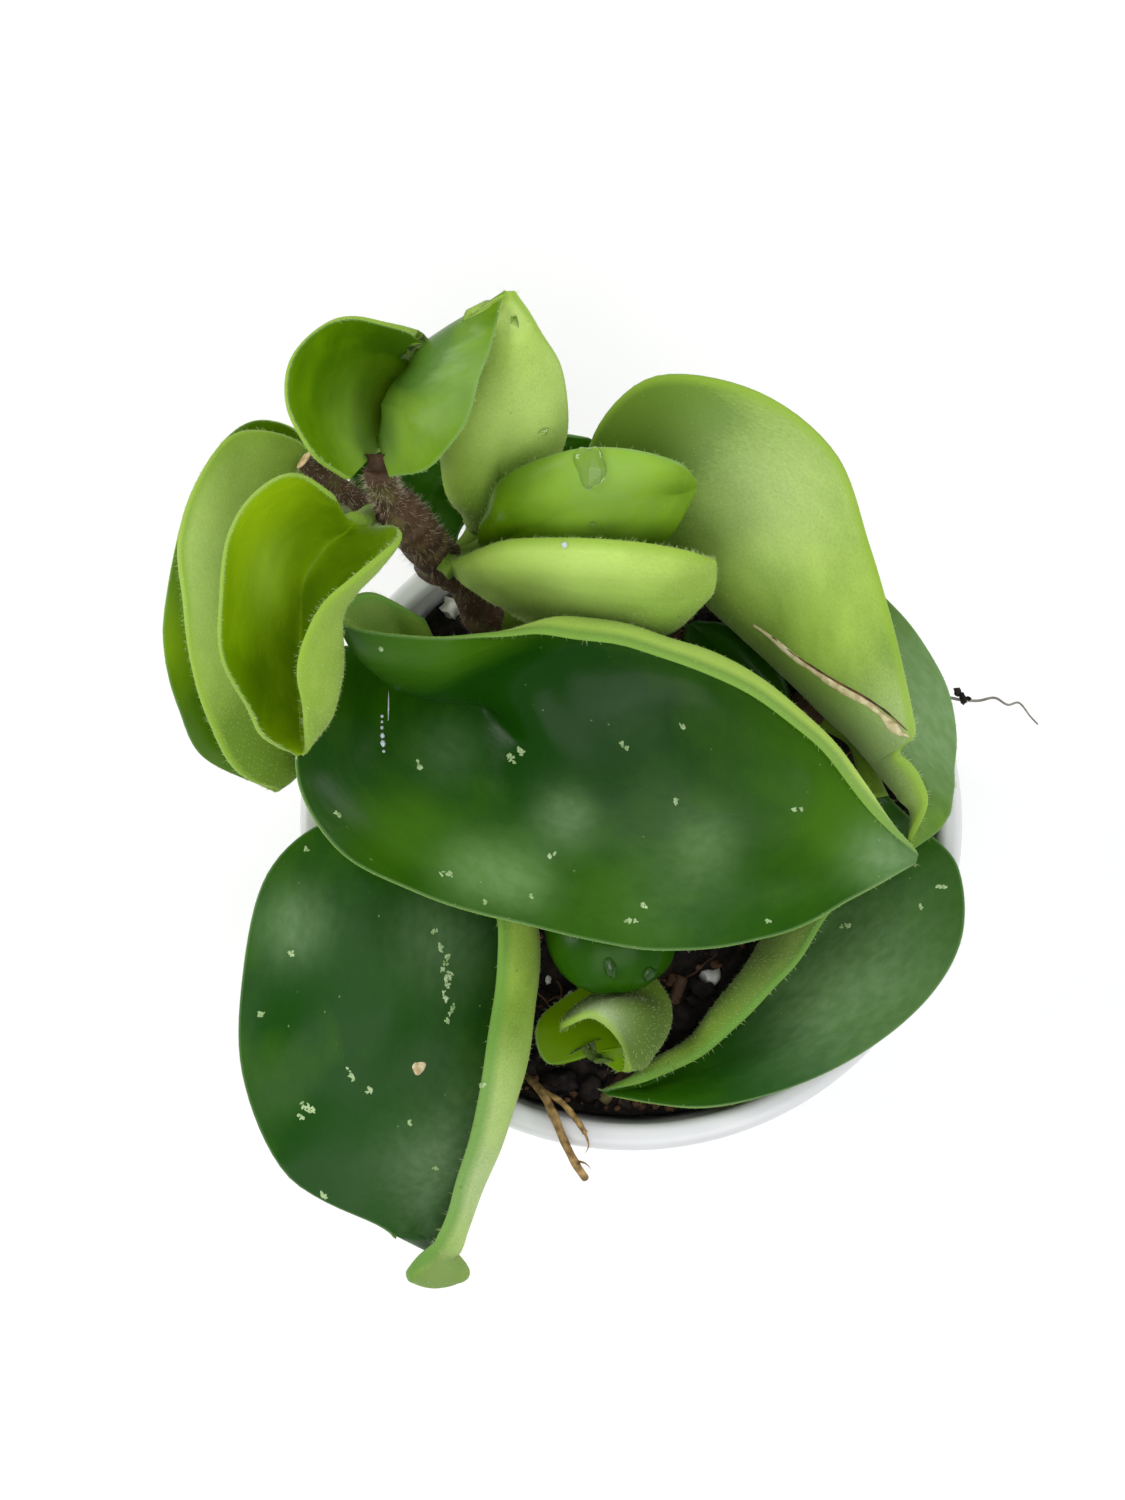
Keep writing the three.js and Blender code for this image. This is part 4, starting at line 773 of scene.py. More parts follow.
def blade_thickness(t, s):
    """margin + (full - margin)·(1 - |s|⁴), led to the end thickness within the taper at base and tip."""
    across = MARGIN_THICKNESS + (BLADE_THICKNESS - MARGIN_THICKNESS) * (1 - np.abs(s)**MARGIN_POWER)
    end = np.maximum(0, 1 - np.minimum(t, 1 - t) / TAPER_LENGTH)
    return across + (END_THICKNESS - across) * end


def rounding(distance, radius):
    """Share of the thickness at a distance from an edge that is rounded as a quarter of an ellipse."""
    return np.sqrt(np.maximum(0, 1 - (1 - np.minimum(distance / radius, 1))**2))


@lru_cache(maxsize=None)
def blade(name, columns):
    """A blade as grids from base to tip and from the left margin to the right one: its glossy and its downy face,
    the normals between them, and for each point its s, its place in mm across and along, and its distance to the
    margin."""
    lines = leaf_lines(name)
    half = columns // 2
    edge = EDGE_RADIUS * (1 - np.cos(np.linspace(0, np.pi / 2, EDGE_STEPS, endpoint=False)))
    # Rows: evenly spaced, with close ones in the rounding of both ends. Speed is the mm to a whole t at each end
    step = 1e-3
    ends = middle(name, np.array([0, step, 1 - step, 1]), np.zeros(4))
    speed = np.linalg.norm(ends[[1, 3]] - ends[[0, 2]], axis=1) / step
    first, last = EDGE_RADIUS / speed[0], 1 - EDGE_RADIUS / speed[1]
    even = np.linspace(first, last, int(columns * LENGTH_TO_WIDTH))
    t = np.concatenate([edge / speed[0], even, 1 - edge[::-1] / speed[1]])[:, None]
    # Columns: evenly spaced on each half, with close ones in the rounding of the margins; for each half its s, its
    # place across, its distance to the margin and its rounding
    rib = catmull(lines["rib"], t[:, 0])
    halves = []
    for margin in ("left", "right"):
        width = np.linalg.norm(catmull(lines[margin], t[:, 0]) - rib, axis=1)[:, None]
        radius = np.minimum(EDGE_RADIUS, MOST_ROUNDING * width)
        inner = np.linspace(0, 1, half) * (1 - radius / width)
        outer = 1 - edge[::-1] * (radius / EDGE_RADIUS) / width
        s = np.hstack([inner, outer])
        rim = (1 - s) * width
        halves.append((s, s * width, rim, rounding(rim, radius)))
    s, x, rim, rounded = (np.hstack([sign * left[:, :0:-1], right])
                          for sign, left, right in zip((-1, -1, 1, 1), *halves))
    rounded = rounded * rounding(t * speed[0], EDGE_RADIUS) * rounding((1 - t) * speed[1], EDGE_RADIUS)
    points = rounded_middle(name, t, s)
    steps = np.linalg.norm(np.diff(rib, axis=0), axis=1)
    y = np.broadcast_to(np.concatenate([[0], np.cumsum(steps)])[:, None], s.shape)
    # Relief: the swells of the solid, then slight ones of the living blade
    lift = sum((height * np.exp(-((t - place) / length)**2 - ((s - side) / width)**2)
                for place, side, height, length, width in LEAVES[name].get("swells", ())), np.zeros(s.shape))
    seed = sum(map(ord, name))
    calm = np.minimum(1, np.minimum(t, 1 - t) / TAPER_LENGTH)
    lift = lift + UNEVENNESS * calm * ripples(x, y, seed, *UNEVEN_WAVES)
    points = points + grid_normals(points) * lift[..., None]
    normals = grid_normals(points)
    thickness = (blade_thickness(t, s) * rounded)[..., None]
    share = LEAVES[name].get("share", EVEN_SHARE)
    return {"glossy": points + normals * thickness * share, "downy": points - normals * thickness * (1 - share),
            "normals": normals, "s": s, "x": x, "y": y, "rim": rim}


def grid_faces(rows, columns, flip=False):
    """Quads of a grid of points, rows by columns."""
    i, j = np.mgrid[0:rows - 1, 0:columns - 1]
    corner = i * columns + j
    faces = np.stack([corner, corner + 1, corner + columns + 1, corner + columns], -1).reshape(-1, 4)
    return faces[:, ::-1] if flip else faces


def ring_faces(rings, sides, flip=False):
    """Quads between rings of points, each ring closed on itself."""
    i, j = np.mgrid[0:rings - 1, 0:sides]
    here, there = i * sides + j, i * sides + (j + 1) % sides
    corners = (here, there, there + sides, here + sides) if flip else (here, here + sides, there + sides, there)
    return np.stack(corners, -1).reshape(-1, 4).tolist()


def tube_faces(rings, sides):
    """Faces of a closed tube: quads between its rings, and a flat cap at each end."""
    end = (rings - 1) * sides
    return [*ring_faces(rings, sides), list(range(sides)), list(range(end + sides - 1, end - 1, -1))]


def skin_faces(rings, sides, flip=False):
    """Faces of a closed skin: quads between its rings, and triangles to a pole at each end. The two poles are the
    points after those of the rings."""
    faces = ring_faces(rings, sides, flip)
    pole = rings * sides
    for centre, start, turned in ((pole, 0, flip), (pole + 1, pole - sides, not flip)):
        pairs = [(start + k, start + (k + 1) % sides) for k in range(sides)]
        faces += [[centre, *(pair[::-1] if turned else pair)] for pair in pairs]
    return faces


def tube(route, radius, sides, steps):
    """Round tube along the curve through a route: point + radius·(side·cos a + up·sin a), side square to the curve
    and level, up square to both. radius is a number or a function of the share of the way. Returns points, faces."""
    u = np.linspace(0, 1, steps + 1)
    centre = catmull(route, u)
    ahead = along(centre)
    guide = np.where(np.abs(ahead[:, 2:]) > STEEP_TUBE, [[1.0, 0, 0]], [[0, 0, 1.0]])
    side = unit(np.cross(ahead, guide))
    up = np.cross(side, ahead)
    a = np.linspace(0, 2 * np.pi, sides, endpoint=False)[None, :, None]
    width = radius(u)[:, None, None] if callable(radius) else radius
    points = centre[:, None] + width * (side[:, None] * np.cos(a) + up[:, None] * np.sin(a))
    return points.reshape(-1, 3), tube_faces(steps + 1, sides)


# Meshes


def part(points, faces, **carried):
    """Part of a piece: points in mm, faces for each material name, and what its points carry for the materials."""
    return {"points": np.asarray(points, float).reshape(-1, 3), "carried": carried,
            "faces": {look: list(map(list, some)) for look, some in faces.items()}}


def piece(name, parts, replaces=()):
    """One object made of parts, in metres, that rides with the plant and may stand for solids of the frame."""
    mesh = bpy.data.meshes.new(name)
    counts = [len(p["points"]) for p in parts]
    starts = np.concatenate([[0], np.cumsum(counts)[:-1]]).astype(int).tolist()
    looks = list(dict.fromkeys(look for p in parts for look in p["faces"]))
    faces = [([start + k for k in face], looks.index(look))
             for p, start in zip(parts, starts) for look, some in p["faces"].items() for face in some]
    mesh.from_pydata(np.vstack([p["points"] for p in parts]) * MM, [], [face for face, _ in faces])
    for look in looks:
        mesh.materials.append(finish(look))
    mesh.polygons.foreach_set("material_index", np.array([slot for _, slot in faces], np.int32))
    mesh.polygons.foreach_set("use_smooth", np.ones(len(faces), bool))
    for key in sorted({key for p in parts for key in p["carried"]}):
        values = [np.asarray(p["carried"].get(key, np.zeros((n, 3))), float).reshape(n, 3)
                  for p, n in zip(parts, counts)]
        layer = mesh.attributes.new(key, "FLOAT_VECTOR", "POINT")
        layer.data.foreach_set("vector", np.vstack(values).astype(np.float32).ravel())
    mesh.update()
    made = bpy.data.objects.new(name, mesh)
    bpy.context.scene.collection.objects.link(made)
    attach(made, "root")
    if replaces:
        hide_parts(*replaces)


# Materials


def plug(tree, inputs, sockets):
    """Sets input sockets to a plain value, or links them from an output."""
    for name, value in sockets.items():
        if isinstance(value, bpy.types.NodeSocket):
            tree.links.new(value, inputs[name])
        else:
            inputs[name].default_value = value


def node(tree, kind, sockets=None, output=0, **settings):
    """Adds a node with its settings and its input sockets set or linked, and returns one of its outputs."""
    made = tree.nodes.new("ShaderNode" + kind)
    for name, value in settings.items():
        setattr(made, name, value)
    plug(tree, made.inputs, sockets or {})
    return made.outputs[output]


def new_material(name):
    """A new material with a Principled shader, and its node tree."""
    made = bpy.data.materials.new(name)
    made.use_nodes = True
    return made, made.node_tree


def shaded(made, sockets):
    """The material, once the sockets of its Principled shader are set or linked."""
    plug(made.node_tree, made.node_tree.nodes["Principled BSDF"].inputs, sockets)
    return made


def carried(tree, name):
    """The three numbers that the points of a mesh carry under a name, and the vector itself."""
    vector = node(tree, "Attribute", None, "Vector", attribute_name=name)
    return (*node(tree, "SeparateXYZ", {"Vector": vector}).node.outputs, vector)


def waxy_leaf(name, deep, fresh):
    """Fleshy leaf under a waxy skin: deep green where the blade is thick or shaded, fresh green where it is young,
    soft broad reflections and patches of painted sheen, a thin pale margin, partly painted light, pale specks of dried
    water and a faintly pebbled surface."""
    made, tree = new_material(name)
    *_, rim, place = carried(tree, "place")
    tint, frost_and_sheen, *_ = carried(tree, "tone")
    # Mottling of about 3 mm, and of cells of 0.25 mm
    mottle = node(tree, "TexNoise", {"Vector": place, "Scale": 0.3, "Detail": 3.0})
    cells = node(tree, "TexNoise", {"Vector": place, "Scale": 4.0, "Detail": 2.0})
    # The tint deepens or freshens the green: the blade's own tone, and painted light and shade
    level = node(tree, "Math", {0: mottle, 1: 0.5, 2: tint}, operation="MULTIPLY_ADD")
    level = node(tree, "Math", {0: cells, 1: 0.12, 2: level}, operation="MULTIPLY_ADD")
    level = node(tree, "MapRange", {"Value": level, "From Min": 0.1, "From Max": 0.9})
    green = node(tree, "Mix", {0: level, 6: (*deep, 1), 7: (*fresh, 1)}, 2, data_type="RGBA")
    # Dust and dried water dull and pale the skin, in clouds of 1 mm; the same clouds carry painted sheen where light
    # glances off the wax
    clouds = node(tree, "TexNoise", {"Vector": place, "Scale": 0.9, "Detail": 3.0, "Roughness": 0.5})
    clouds = node(tree, "MapRange", {"Value": clouds, "From Min": 0.35, "From Max": 0.65, "To Min": 0.7,
                                     "To Max": 1.0})
    dust_and_sheen = node(tree, "Math", {0: frost_and_sheen, 1: clouds}, operation="MULTIPLY")
    # The margin is pale for 0.2 mm: its own paler rim, and painted light where the edge catches it
    edge = node(tree, "MapRange", {"Value": rim, "From Min": 0.05, "From Max": 0.25, "To Min": 0.35, "To Max": 0.0})
    # Pale specks of 0.1 to 0.2 mm, one to about 2.4 mm
    specks = node(tree, "TexVoronoi", {"Vector": place, "Scale": 0.42})
    specks = node(tree, "MapRange", {"Value": specks, "From Min": 0.045, "From Max": 0.03, "To Min": 0.0,
                                     "To Max": 0.45})
    for share, code in ((dust_and_sheen, "#86a577"), (edge, "#7f9f6a"), (specks, "#8fa970")):
        green = node(tree, "Mix", {0: share, 6: green, 7: opaque(code)}, 2, data_type="RGBA")
    # The mottling, the dust and the painted sheen break up the gloss
    rough = node(tree, "Math", {0: mottle, 1: 0.1, 2: 0.22}, operation="MULTIPLY_ADD")
    rough = node(tree, "Math", {0: frost_and_sheen, 1: 0.3, 2: rough}, operation="MULTIPLY_ADD")
    # Pebbling of about 1 mm
    pebbles = node(tree, "TexNoise", {"Vector": place, "Scale": 0.9, "Detail": 3.0})
    bump = node(tree, "Bump", {"Strength": 0.2, "Distance": 0.1 * MM, "Height": pebbles})
    return shaded(made, {"Base Color": green, "Roughness": rough, "Specular IOR Level": 0.1, "Normal": bump})


def downy_leaf(name, deep, fresh):
    """Underside of the leaf under short down: pale and dull, with fine pale grains where the down catches light, a
    deeper green margin, a few dark specks and painted shade where the tint is very low."""
    made, tree = new_material(name)
    *_, rim, place = carried(tree, "place")
    tint, frost_and_sheen, age, _ = carried(tree, "tone")
    # Mottling of 4 mm, and the grains of the down, 0.2 mm
    mottle = node(tree, "TexNoise", {"Vector": place, "Scale": 0.25, "Detail": 3.0})
    grains = node(tree, "TexNoise", {"Vector": place, "Scale": 5.0, "Detail": 2.0})
    # The tint deepens or freshens the green: the blade's own tone, and painted light and shade
    level = node(tree, "Math", {0: mottle, 1: 0.6, 2: tint}, operation="MULTIPLY_ADD")
    level = node(tree, "Math", {0: grains, 1: 0.35, 2: level}, operation="MULTIPLY_ADD")
    level = node(tree, "MapRange", {"Value": level, "From Min": 0.08, "From Max": 0.98})
    green = node(tree, "Mix", {0: level, 6: (*deep, 1), 7: (*fresh, 1)}, 2, data_type="RGBA")
    # A very low tint paints shade: a dark green where the blade lies in shadow
    painted_shade = node(tree, "MapRange", {"Value": tint, "From Min": -0.7, "From Max": -1.6, "To Min": 0.0, "To Max": 0.8})
    # Where the tone's second number is high the grains whiten the green: thick down, and painted sheen where light
    # glances off the down
    bloom_and_sheen = node(tree, "MapRange", {"Value": grains, "To Min": 0.25, "To Max": 0.75})
    bloom_and_sheen = node(tree, "Math", {0: frost_and_sheen, 1: bloom_and_sheen}, operation="MULTIPLY")
    # The margin keeps the deeper green of the glossy face for 0.6 mm, deepest on an old blade
    edge = node(tree, "MapRange", {"Value": rim, "From Min": 0.3, "From Max": 0.9, "To Min": 0.75, "To Max": 0.0})
    skin = node(tree, "Mix", {0: age, 6: opaque("#86a82e"), 7: opaque("#55842b")}, 2, data_type="RGBA")
    # Dark specks of 0.2 mm, one to 3 mm
    specks = node(tree, "TexVoronoi", {"Vector": place, "Scale": 0.33})
    specks = node(tree, "MapRange", {"Value": specks, "From Min": 0.05, "From Max": 0.025, "To Min": 0.0,
                                     "To Max": 0.6})
    for share, colour in ((painted_shade, opaque("#39500f")), (bloom_and_sheen, opaque("#dbe6c6")), (edge, skin),
                          (specks, opaque("#4f6420"))):
        green = node(tree, "Mix", {0: share, 6: green, 7: colour}, 2, data_type="RGBA")
    bump = node(tree, "Bump", {"Strength": 0.35, "Distance": 0.06 * MM, "Height": grains})
    return shaded(made, {"Base Color": green, "Roughness": 0.75, "Specular IOR Level": 0.35, "Sheen Weight": 0.12,
                         "Sheen Roughness": 0.5, "Sheen Tint": opaque("#e4efc4"), "Normal": bump})


def leaf_down(name, code):
    """Dry hairs: off-white and dull, darker and lighter from hair to hair. The noise takes the piece's own box as its
    measure, so its patches are a 300th of it: 0.1 to 0.25 mm on the leaves, 0.05 to 0.12 mm on the stem."""
    made, tree = new_material(name)
    tone = node(tree, "TexNoise", {"Scale": 300.0})
    tone = node(tree, "MapRange", {"Value": tone, "To Min": 0.75, "To Max": 1.0})
    mixed = node(tree, "Mix", {0: tone, 6: opaque("#a5b07a"), 7: opaque(code)}, 2, data_type="RGBA")
    return shaded(made, {"Base Color": mixed, "Roughness": 0.6})


def woody_stem(name):
    """Young bark over green wood: dull red-brown with short lengthwise cracks, greener where it is youngest."""
    made, tree = new_material(name)
    place = node(tree, "TexCoord", None, "Object")
    # Green shows through in patches of 2 mm; the cracks are 0.5 mm apart and three times as long as wide
    coarse = node(tree, "TexNoise", {"Vector": place, "Scale": 450.0, "Detail": 4.0})
    stretched = node(tree, "Mapping", {"Vector": place, "Scale": (1.0, 1.0, 0.3)})
    cracks = node(tree, "TexNoise", {"Vector": stretched, "Scale": 2200.0, "Detail": 3.0})
    bark = node(tree, "Mix", {0: cracks, 6: opaque("#1c120c"), 7: opaque("#61452f")}, 2, data_type="RGBA")
    green = node(tree, "MapRange", {"Value": coarse, "From Min": 0.52, "From Max": 0.7, "To Max": 0.5})
    mixed = node(tree, "Mix", {0: green, 6: bark, 7: opaque("#6b6b35")}, 2, data_type="RGBA")
    bump = node(tree, "Bump", {"Strength": 0.6, "Distance": 0.15 * MM, "Height": cracks})
    return shaded(made, {"Base Color": mixed, "Roughness": 0.72, "Specular IOR Level": 0.35, "Normal": bump})


def speckled(name, low, high, grain, roughness, depth):
    """Dull rough matter of two colours; grain is how many grains go to a metre, depth their relief in metres."""
    made, tree = new_material(name)
    place = node(tree, "TexCoord", None, "Object")
    grains = node(tree, "TexNoise", {"Vector": place, "Scale": grain, "Detail": 5.0})
    share = node(tree, "MapRange", {"Value": grains, "From Min": 0.3, "From Max": 0.7})
    mixed = node(tree, "Mix", {0: share, 6: opaque(low), 7: opaque(high)}, 2, data_type="RGBA")
    bump = node(tree, "Bump", {"Strength": 0.7, "Distance": depth, "Height": grains})
    return shaded(made, {"Base Color": mixed, "Roughness": roughness, "Specular IOR Level": 0.3, "Normal": bump})


def moulded_polypropylene(name):
    """Thin injection-moulded polypropylene: bluish white, satin, with faint handling marks of 8 mm."""
    made, tree = new_material(name)
    place = node(tree, "TexCoord", None, "Object")
    cloud = node(tree, "TexNoise", {"Vector": place, "Scale": 120.0, "Detail": 4.0})
    white = node(tree, "Mix", {0: cloud, 6: opaque("#c8c9cb"), 7: opaque("#d8d8d9")}, 2, data_type="RGBA")
    rough = node(tree, "MapRange", {"Value": cloud, "To Min": 0.3, "To Max": 0.5})
    bump = node(tree, "Bump", {"Strength": 0.15, "Distance": 0.05 * MM, "Height": cloud})
    return shaded(made, {"Base Color": white, "Roughness": rough, "Specular IOR Level": 0.5, "Normal": bump})


def clear_water(name):
    """Water: clear, smooth, bends light a little less than glass."""
    return shaded(new_material(name)[0], {"Base Color": (1, 1, 1, 1), "Roughness": 0.0, "IOR": 1.33,
                                          "Transmission Weight": 1.0})


def water_with_painted_glint(name):
    """Small drop of water, part clear and shining: its pale colour paints the glint of light on it."""
    return shaded(new_material(name)[0], {"Base Color": opaque("#dfeaf2"), "Roughness": 0.15, "IOR": 1.33,
                                          "Transmission Weight": 0.35})


def studio_floor(name):
    """Matt white paper sheet, slightly uneven in patches of 25 mm."""
    made, tree = new_material(name)
    place = node(tree, "TexCoord", None, "Object")
    fibres = node(tree, "TexNoise", {"Vector": place, "Scale": 40.0, "Detail": 2.0})
    white = node(tree, "Mix", {0: fibres, 6: opaque("#f1f1f0"), 7: opaque("#f6f6f5")}, 2, data_type="RGBA")
    return shaded(made, {"Base Color": white, "Roughness": 0.9, "Specular IOR Level": 0.2})


# Dull rough matter: darker and lighter colour, grains to a metre, roughness, and relief in metres
SPECKLED = {
    # Dry wood where a shoot was cut: pale and fibrous, grains of 0.7 mm
    "cut_wood": ("#a98a60", "#dcc79c", 1500.0, 0.8, 0.05 * MM),
    # Cork over an old wound: light brown and crumbly
    "corky_scar": ("#a08a5c", "#ddd4ae", 1400.0, 0.8, 0.05 * MM),
    # Dried root: golden brown with deep wrinkles of 0.8 mm
    "dry_root": ("#4d3719", "#b0905a", 1300.0, 0.8, 0.15 * MM),
    # Thin dead rootlet: grey and smooth
    "dry_rootlet": ("#5f5a54", "#a29d95", 900.0, 0.8, 0.04 * MM),
    # Damp peat: nearly black, with brown crumbs of 0.9 mm
    "potting_soil": ("#060607", "#2a211c", 1100.0, 0.9, 0.3 * MM),
    # Composted bark: dark red-brown, fibrous
    "bark_chip": ("#2c1c12", "#76543a", 900.0, 0.85, 0.1 * MM),
    # Expanded perlite: white and foamy
    "perlite": ("#bdbbb5", "#f4f3ef", 1200.0, 0.9, 0.1 * MM),
    # Lime that a drop left on the leaf: thin, so that the green shows through
    "dried_drop": ("#6f9150", "#b3c79a", 1600.0, 0.7, 0.02 * MM),
}
# Leaf skins: how they are made, and which two colours of the settings they take
SKINS = {
    "waxy_mature": (waxy_leaf, "mature"),
    "waxy_bright": (waxy_leaf, "bright"),
    "waxy_young": (waxy_leaf, "young"),
    "downy_underside": (downy_leaf, "down"),
}
HAIRS = {"down_hair": "#cfe09a", "stem_hair": "#c9b8a2"}
PLAIN = (woody_stem, moulded_polypropylene, clear_water, water_with_painted_glint, studio_floor)


def finish(name):
    """The material of that name, made on its first use."""
    made = bpy.data.materials.get(name)
    if made:
        return made
    if name in SPECKLED:
        return speckled(name, *SPECKLED[name])
    if name in HAIRS:
        return leaf_down(name, HAIRS[name])
    if name in SKINS:
        maker, kind = SKINS[name]
        colours = bpy.context.scene.rope_plant.leaves
        return maker(name, getattr(colours, kind + "_deep"), getattr(colours, kind + "_fresh"))
    return {maker.__name__: maker for maker in PLAIN}[name](name)


# Leaves


def leaf_tone(name, points):
    """Tint and frost of points, which paint light, shade and sheen besides the blade's own tone and dried water: sums
    of amount·exp(-(distance to the place / radius)²). The third is 1 on an old blade."""
    tone = np.zeros((*points.shape[:-1], 3))
    tone[..., 2] = LEAVES[name]["look"] == "mature"
    for place, radius, tint, frost_and_sheen in TONES.get(name, ()):
        near = np.exp(-((points - np.array(place))**2).sum(-1) / radius**2)
        tone += near[..., None] * np.array([tint, frost_and_sheen, 0])
    return tone


def blade_part(name, columns):
    """A blade as one closed skin: its glossy and its downy face share the points of their outline."""
    grid = blade(name, columns)
    rows, width = grid["s"].shape
    inside = np.s_[1:-1, 1:-1]
    under = np.arange(rows * width).reshape(rows, width)
    under[inside] = rows * width + np.arange((rows - 2) * (width - 2)).reshape(rows - 2, width - 2)
    corners = under[:-1, :-1], under[1:, :-1], under[1:, 1:], under[:-1, 1:]
    place = np.stack([grid["x"], grid["y"], grid["rim"]], -1)

    def both(values, below):
        return np.vstack([values.reshape(-1, 3), below[inside].reshape(-1, 3)])

    points = both(grid["glossy"], grid["downy"])
    return part(points, {GLOSSY_LOOKS[LEAVES[name]["look"]]: grid_faces(rows, width).tolist(),
                         "downy_underside": np.stack(corners, -1).reshape(-1, 4).tolist()},
                place=both(place, place), tone=leaf_tone(name, points))


def petiole_part(name):
    """Stalk of a leaf: a tube that widens into the blade and at its foot, radius·(1 + flare·(2u - 1)⁴)."""
    leaf = LEAVES[name]
    points, faces = tube(leaf["petiole"], lambda u: PETIOLE_DIAMETER / 2 * (1 + PETIOLE_FLARE * (2 * u - 1)**4),
                         *TUBES["petiole"])
    place = np.column_stack([points[:, :2], np.full(len(points), PETIOLE_RIM)])
    return part(points, {leaf.get("stalk", "downy_underside"): faces}, place=place,
                tone=np.full((len(points), 3), [PETIOLE_TINT, 0, 0]))


# Down


def thorns(roots, ways, lengths, width):
    """Hairs as slim closed spikes: three points round the root, square to the way, and one at root + way·length."""
    guide = np.where(np.abs(ways[:, 2:]) > STEEP_HAIR, [[1.0, 0, 0]], [[0, 0, 1.0]])
    side = unit(np.cross(ways, guide))
    up = np.cross(side, ways)
    ring = [roots + width / 2 * (side * np.cos(a) + up * np.sin(a)) for a in (0, 2 * np.pi / 3, 4 * np.pi / 3)]
    points = np.stack([*ring, roots + ways * lengths[:, None]], 1)
    start = 4 * np.arange(len(roots))[:, None]
    faces = np.concatenate([start + corner for corner in ([[0, 3, 1]], [[1, 3, 2]], [[2, 3, 0]], [[0, 1, 2]])])
    return points.reshape(-1, 3), faces.tolist()


def scatter(rng, points, count):
    """Random spots on a grid of points, as likely on each quad as it is large: row, column and the shares down and
    across; and the area of the grid."""
    along_row, down_column = np.diff(points, axis=1)[:-1], np.diff(points, axis=0)[:, :-1]
    area = np.linalg.norm(np.cross(along_row, down_column), axis=-1)
    chosen = np.searchsorted(np.cumsum(area.ravel()) / area.sum(), rng.random(count))
    i, j = np.divmod(np.minimum(chosen, area.size - 1), area.shape[1])
    return i, j, rng.random((count, 1)), rng.random((count, 1)), area.sum()


def between(grid, i, j, a, b):
    """Value of a grid at spots: mean of its four neighbours weighted by the shares a down and b across."""
    return ((1 - a) * (1 - b) * grid[i, j] + (1 - a) * b * grid[i, j + 1]
            + a * (1 - b) * grid[i + 1, j] + a * b * grid[i + 1, j + 1])


def down_part(name, columns, hairs, rng):
    """Down on the underside of a blade, leaning to its tip, and a longer fringe along both margins."""
    grid = blade(name, columns)
    lean = unit(np.gradient(grid["downy"], axis=0))
    *_, area = scatter(rng, grid["downy"], 1)
    count = int(area * hairs.density * LEAVES[name].get("down", 1))
    i, j, a, b, _ = scatter(rng, grid["downy"], count)
    ways = -between(grid["normals"], i, j, a, b) + DOWN_LEAN * between(lean, i, j, a, b)
    roots = between(grid["downy"], i, j, a, b)
    lengths = hairs.down_length / MM * rng.uniform(*DOWN_LENGTHS, count)
    rows = len(grid["s"])
    density = FRINGE_DENSITY[LEAVES[name]["look"]]
    fringe = int(density * np.linalg.norm(np.diff(grid["glossy"][:, 0], axis=0), axis=1).sum())
    for column, inner in ((0, 2), (-1, -3)):
        k, share = rng.integers(0, rows - 1, fringe), rng.random((fringe, 1))
        edge = grid["glossy"][:, column]
        outward = unit(edge - grid["downy"][:, inner])
        roots = np.vstack([roots, edge[k] * (1 - share) + edge[k + 1] * share])
        ways = np.vstack([ways, outward[k] - FRINGE_BACK * grid["normals"][k, column]
                          + FRINGE_LEAN * lean[k, column]])
        lengths = np.append(lengths, hairs.fringe_length / MM * rng.uniform(*FRINGE_LENGTHS, fringe))
    ways = unit(unit(ways) + HAIR_STRAY * rng.normal(size=ways.shape))
    points, faces = thorns(roots, ways, lengths, hairs.width / MM)
    return part(points, {"down_hair": faces})


# Pot


def lathe(profile, sides):
    """Surface of a profile of (radius, height) turned round the upright axis: (r·cos a, r·sin a, h). A profile that
    starts and ends on the axis gives a closed skin, with one point at each pole."""
    profile = np.asarray(profile, float)
    ring = profile[1:-1]
    a = np.linspace(0, 2 * np.pi, sides, endpoint=False)
    points = np.stack([ring[:, :1] * np.cos(a), ring[:, :1] * np.sin(a),
                       np.broadcast_to(ring[:, 1:], (len(ring), sides))], -1).reshape(-1, 3)
    poles = [[0, 0, profile[0, 1]], [0, 0, profile[-1, 1]]]
    return np.vstack([points, poles]), skin_faces(len(ring), sides, True)


def arc(centre, radius, start, end, steps=6):
    """Points of an arc of (radius, height), angles in degrees from outwards, upwards positive."""
    a = np.radians(np.linspace(start, end, steps))
    return np.column_stack([centre[0] + radius * np.cos(a), centre[1] + radius * np.sin(a)])


def inner_radius(height, rim, tall):
    """Inside of the pot wall at a height: straight from the foot to the lip."""
    foot = FOOT_DIAMETER / 2 - WALL
    return foot + (rim / 2 - LIP_WIDTH - foot) * height / tall


def pot_profile(rim, tall):
    """Outline of the pot from the middle of its underside, up the outside, over the rolled lip and down the inside."""
    outer, foot, under = rim / 2, FOOT_DIAMETER / 2, tall - LIP_HEIGHT
    wall, inside = inner_radius(under, rim, tall) + WALL, outer - LIP_WIDTH
    bottom = inner_radius(FLOOR, rim, tall)
    return np.vstack([
        [[0, 0], [foot / 2, 0]],
        arc((foot - FOOT_RADIUS, FOOT_RADIUS), FOOT_RADIUS, -90, 0),
        [[wall - WALL_END[0], under - WALL_END[1]]],
        arc((wall + HOLLOW_RADIUS, under - HOLLOW_RADIUS), HOLLOW_RADIUS, 180, 90, 4),
        arc((outer - LIP_EDGE_RADIUS, under + LIP_EDGE_RADIUS), LIP_EDGE_RADIUS, -90, 0, 5),
        arc((outer - LIP_RADIUS, tall - LIP_RADIUS), LIP_RADIUS, 0, 90, 8),
        arc((inside + LIP_RADIUS, tall - LIP_RADIUS), LIP_RADIUS, 90, 180, 8),
        [[inner_radius(tall / 2, rim, tall), tall / 2]],
        arc((bottom - FLOOR_RADIUS, FLOOR + FLOOR_RADIUS), FLOOR_RADIUS, 0, -90, 5),
        [[0, FLOOR]],
    ])


# Soil


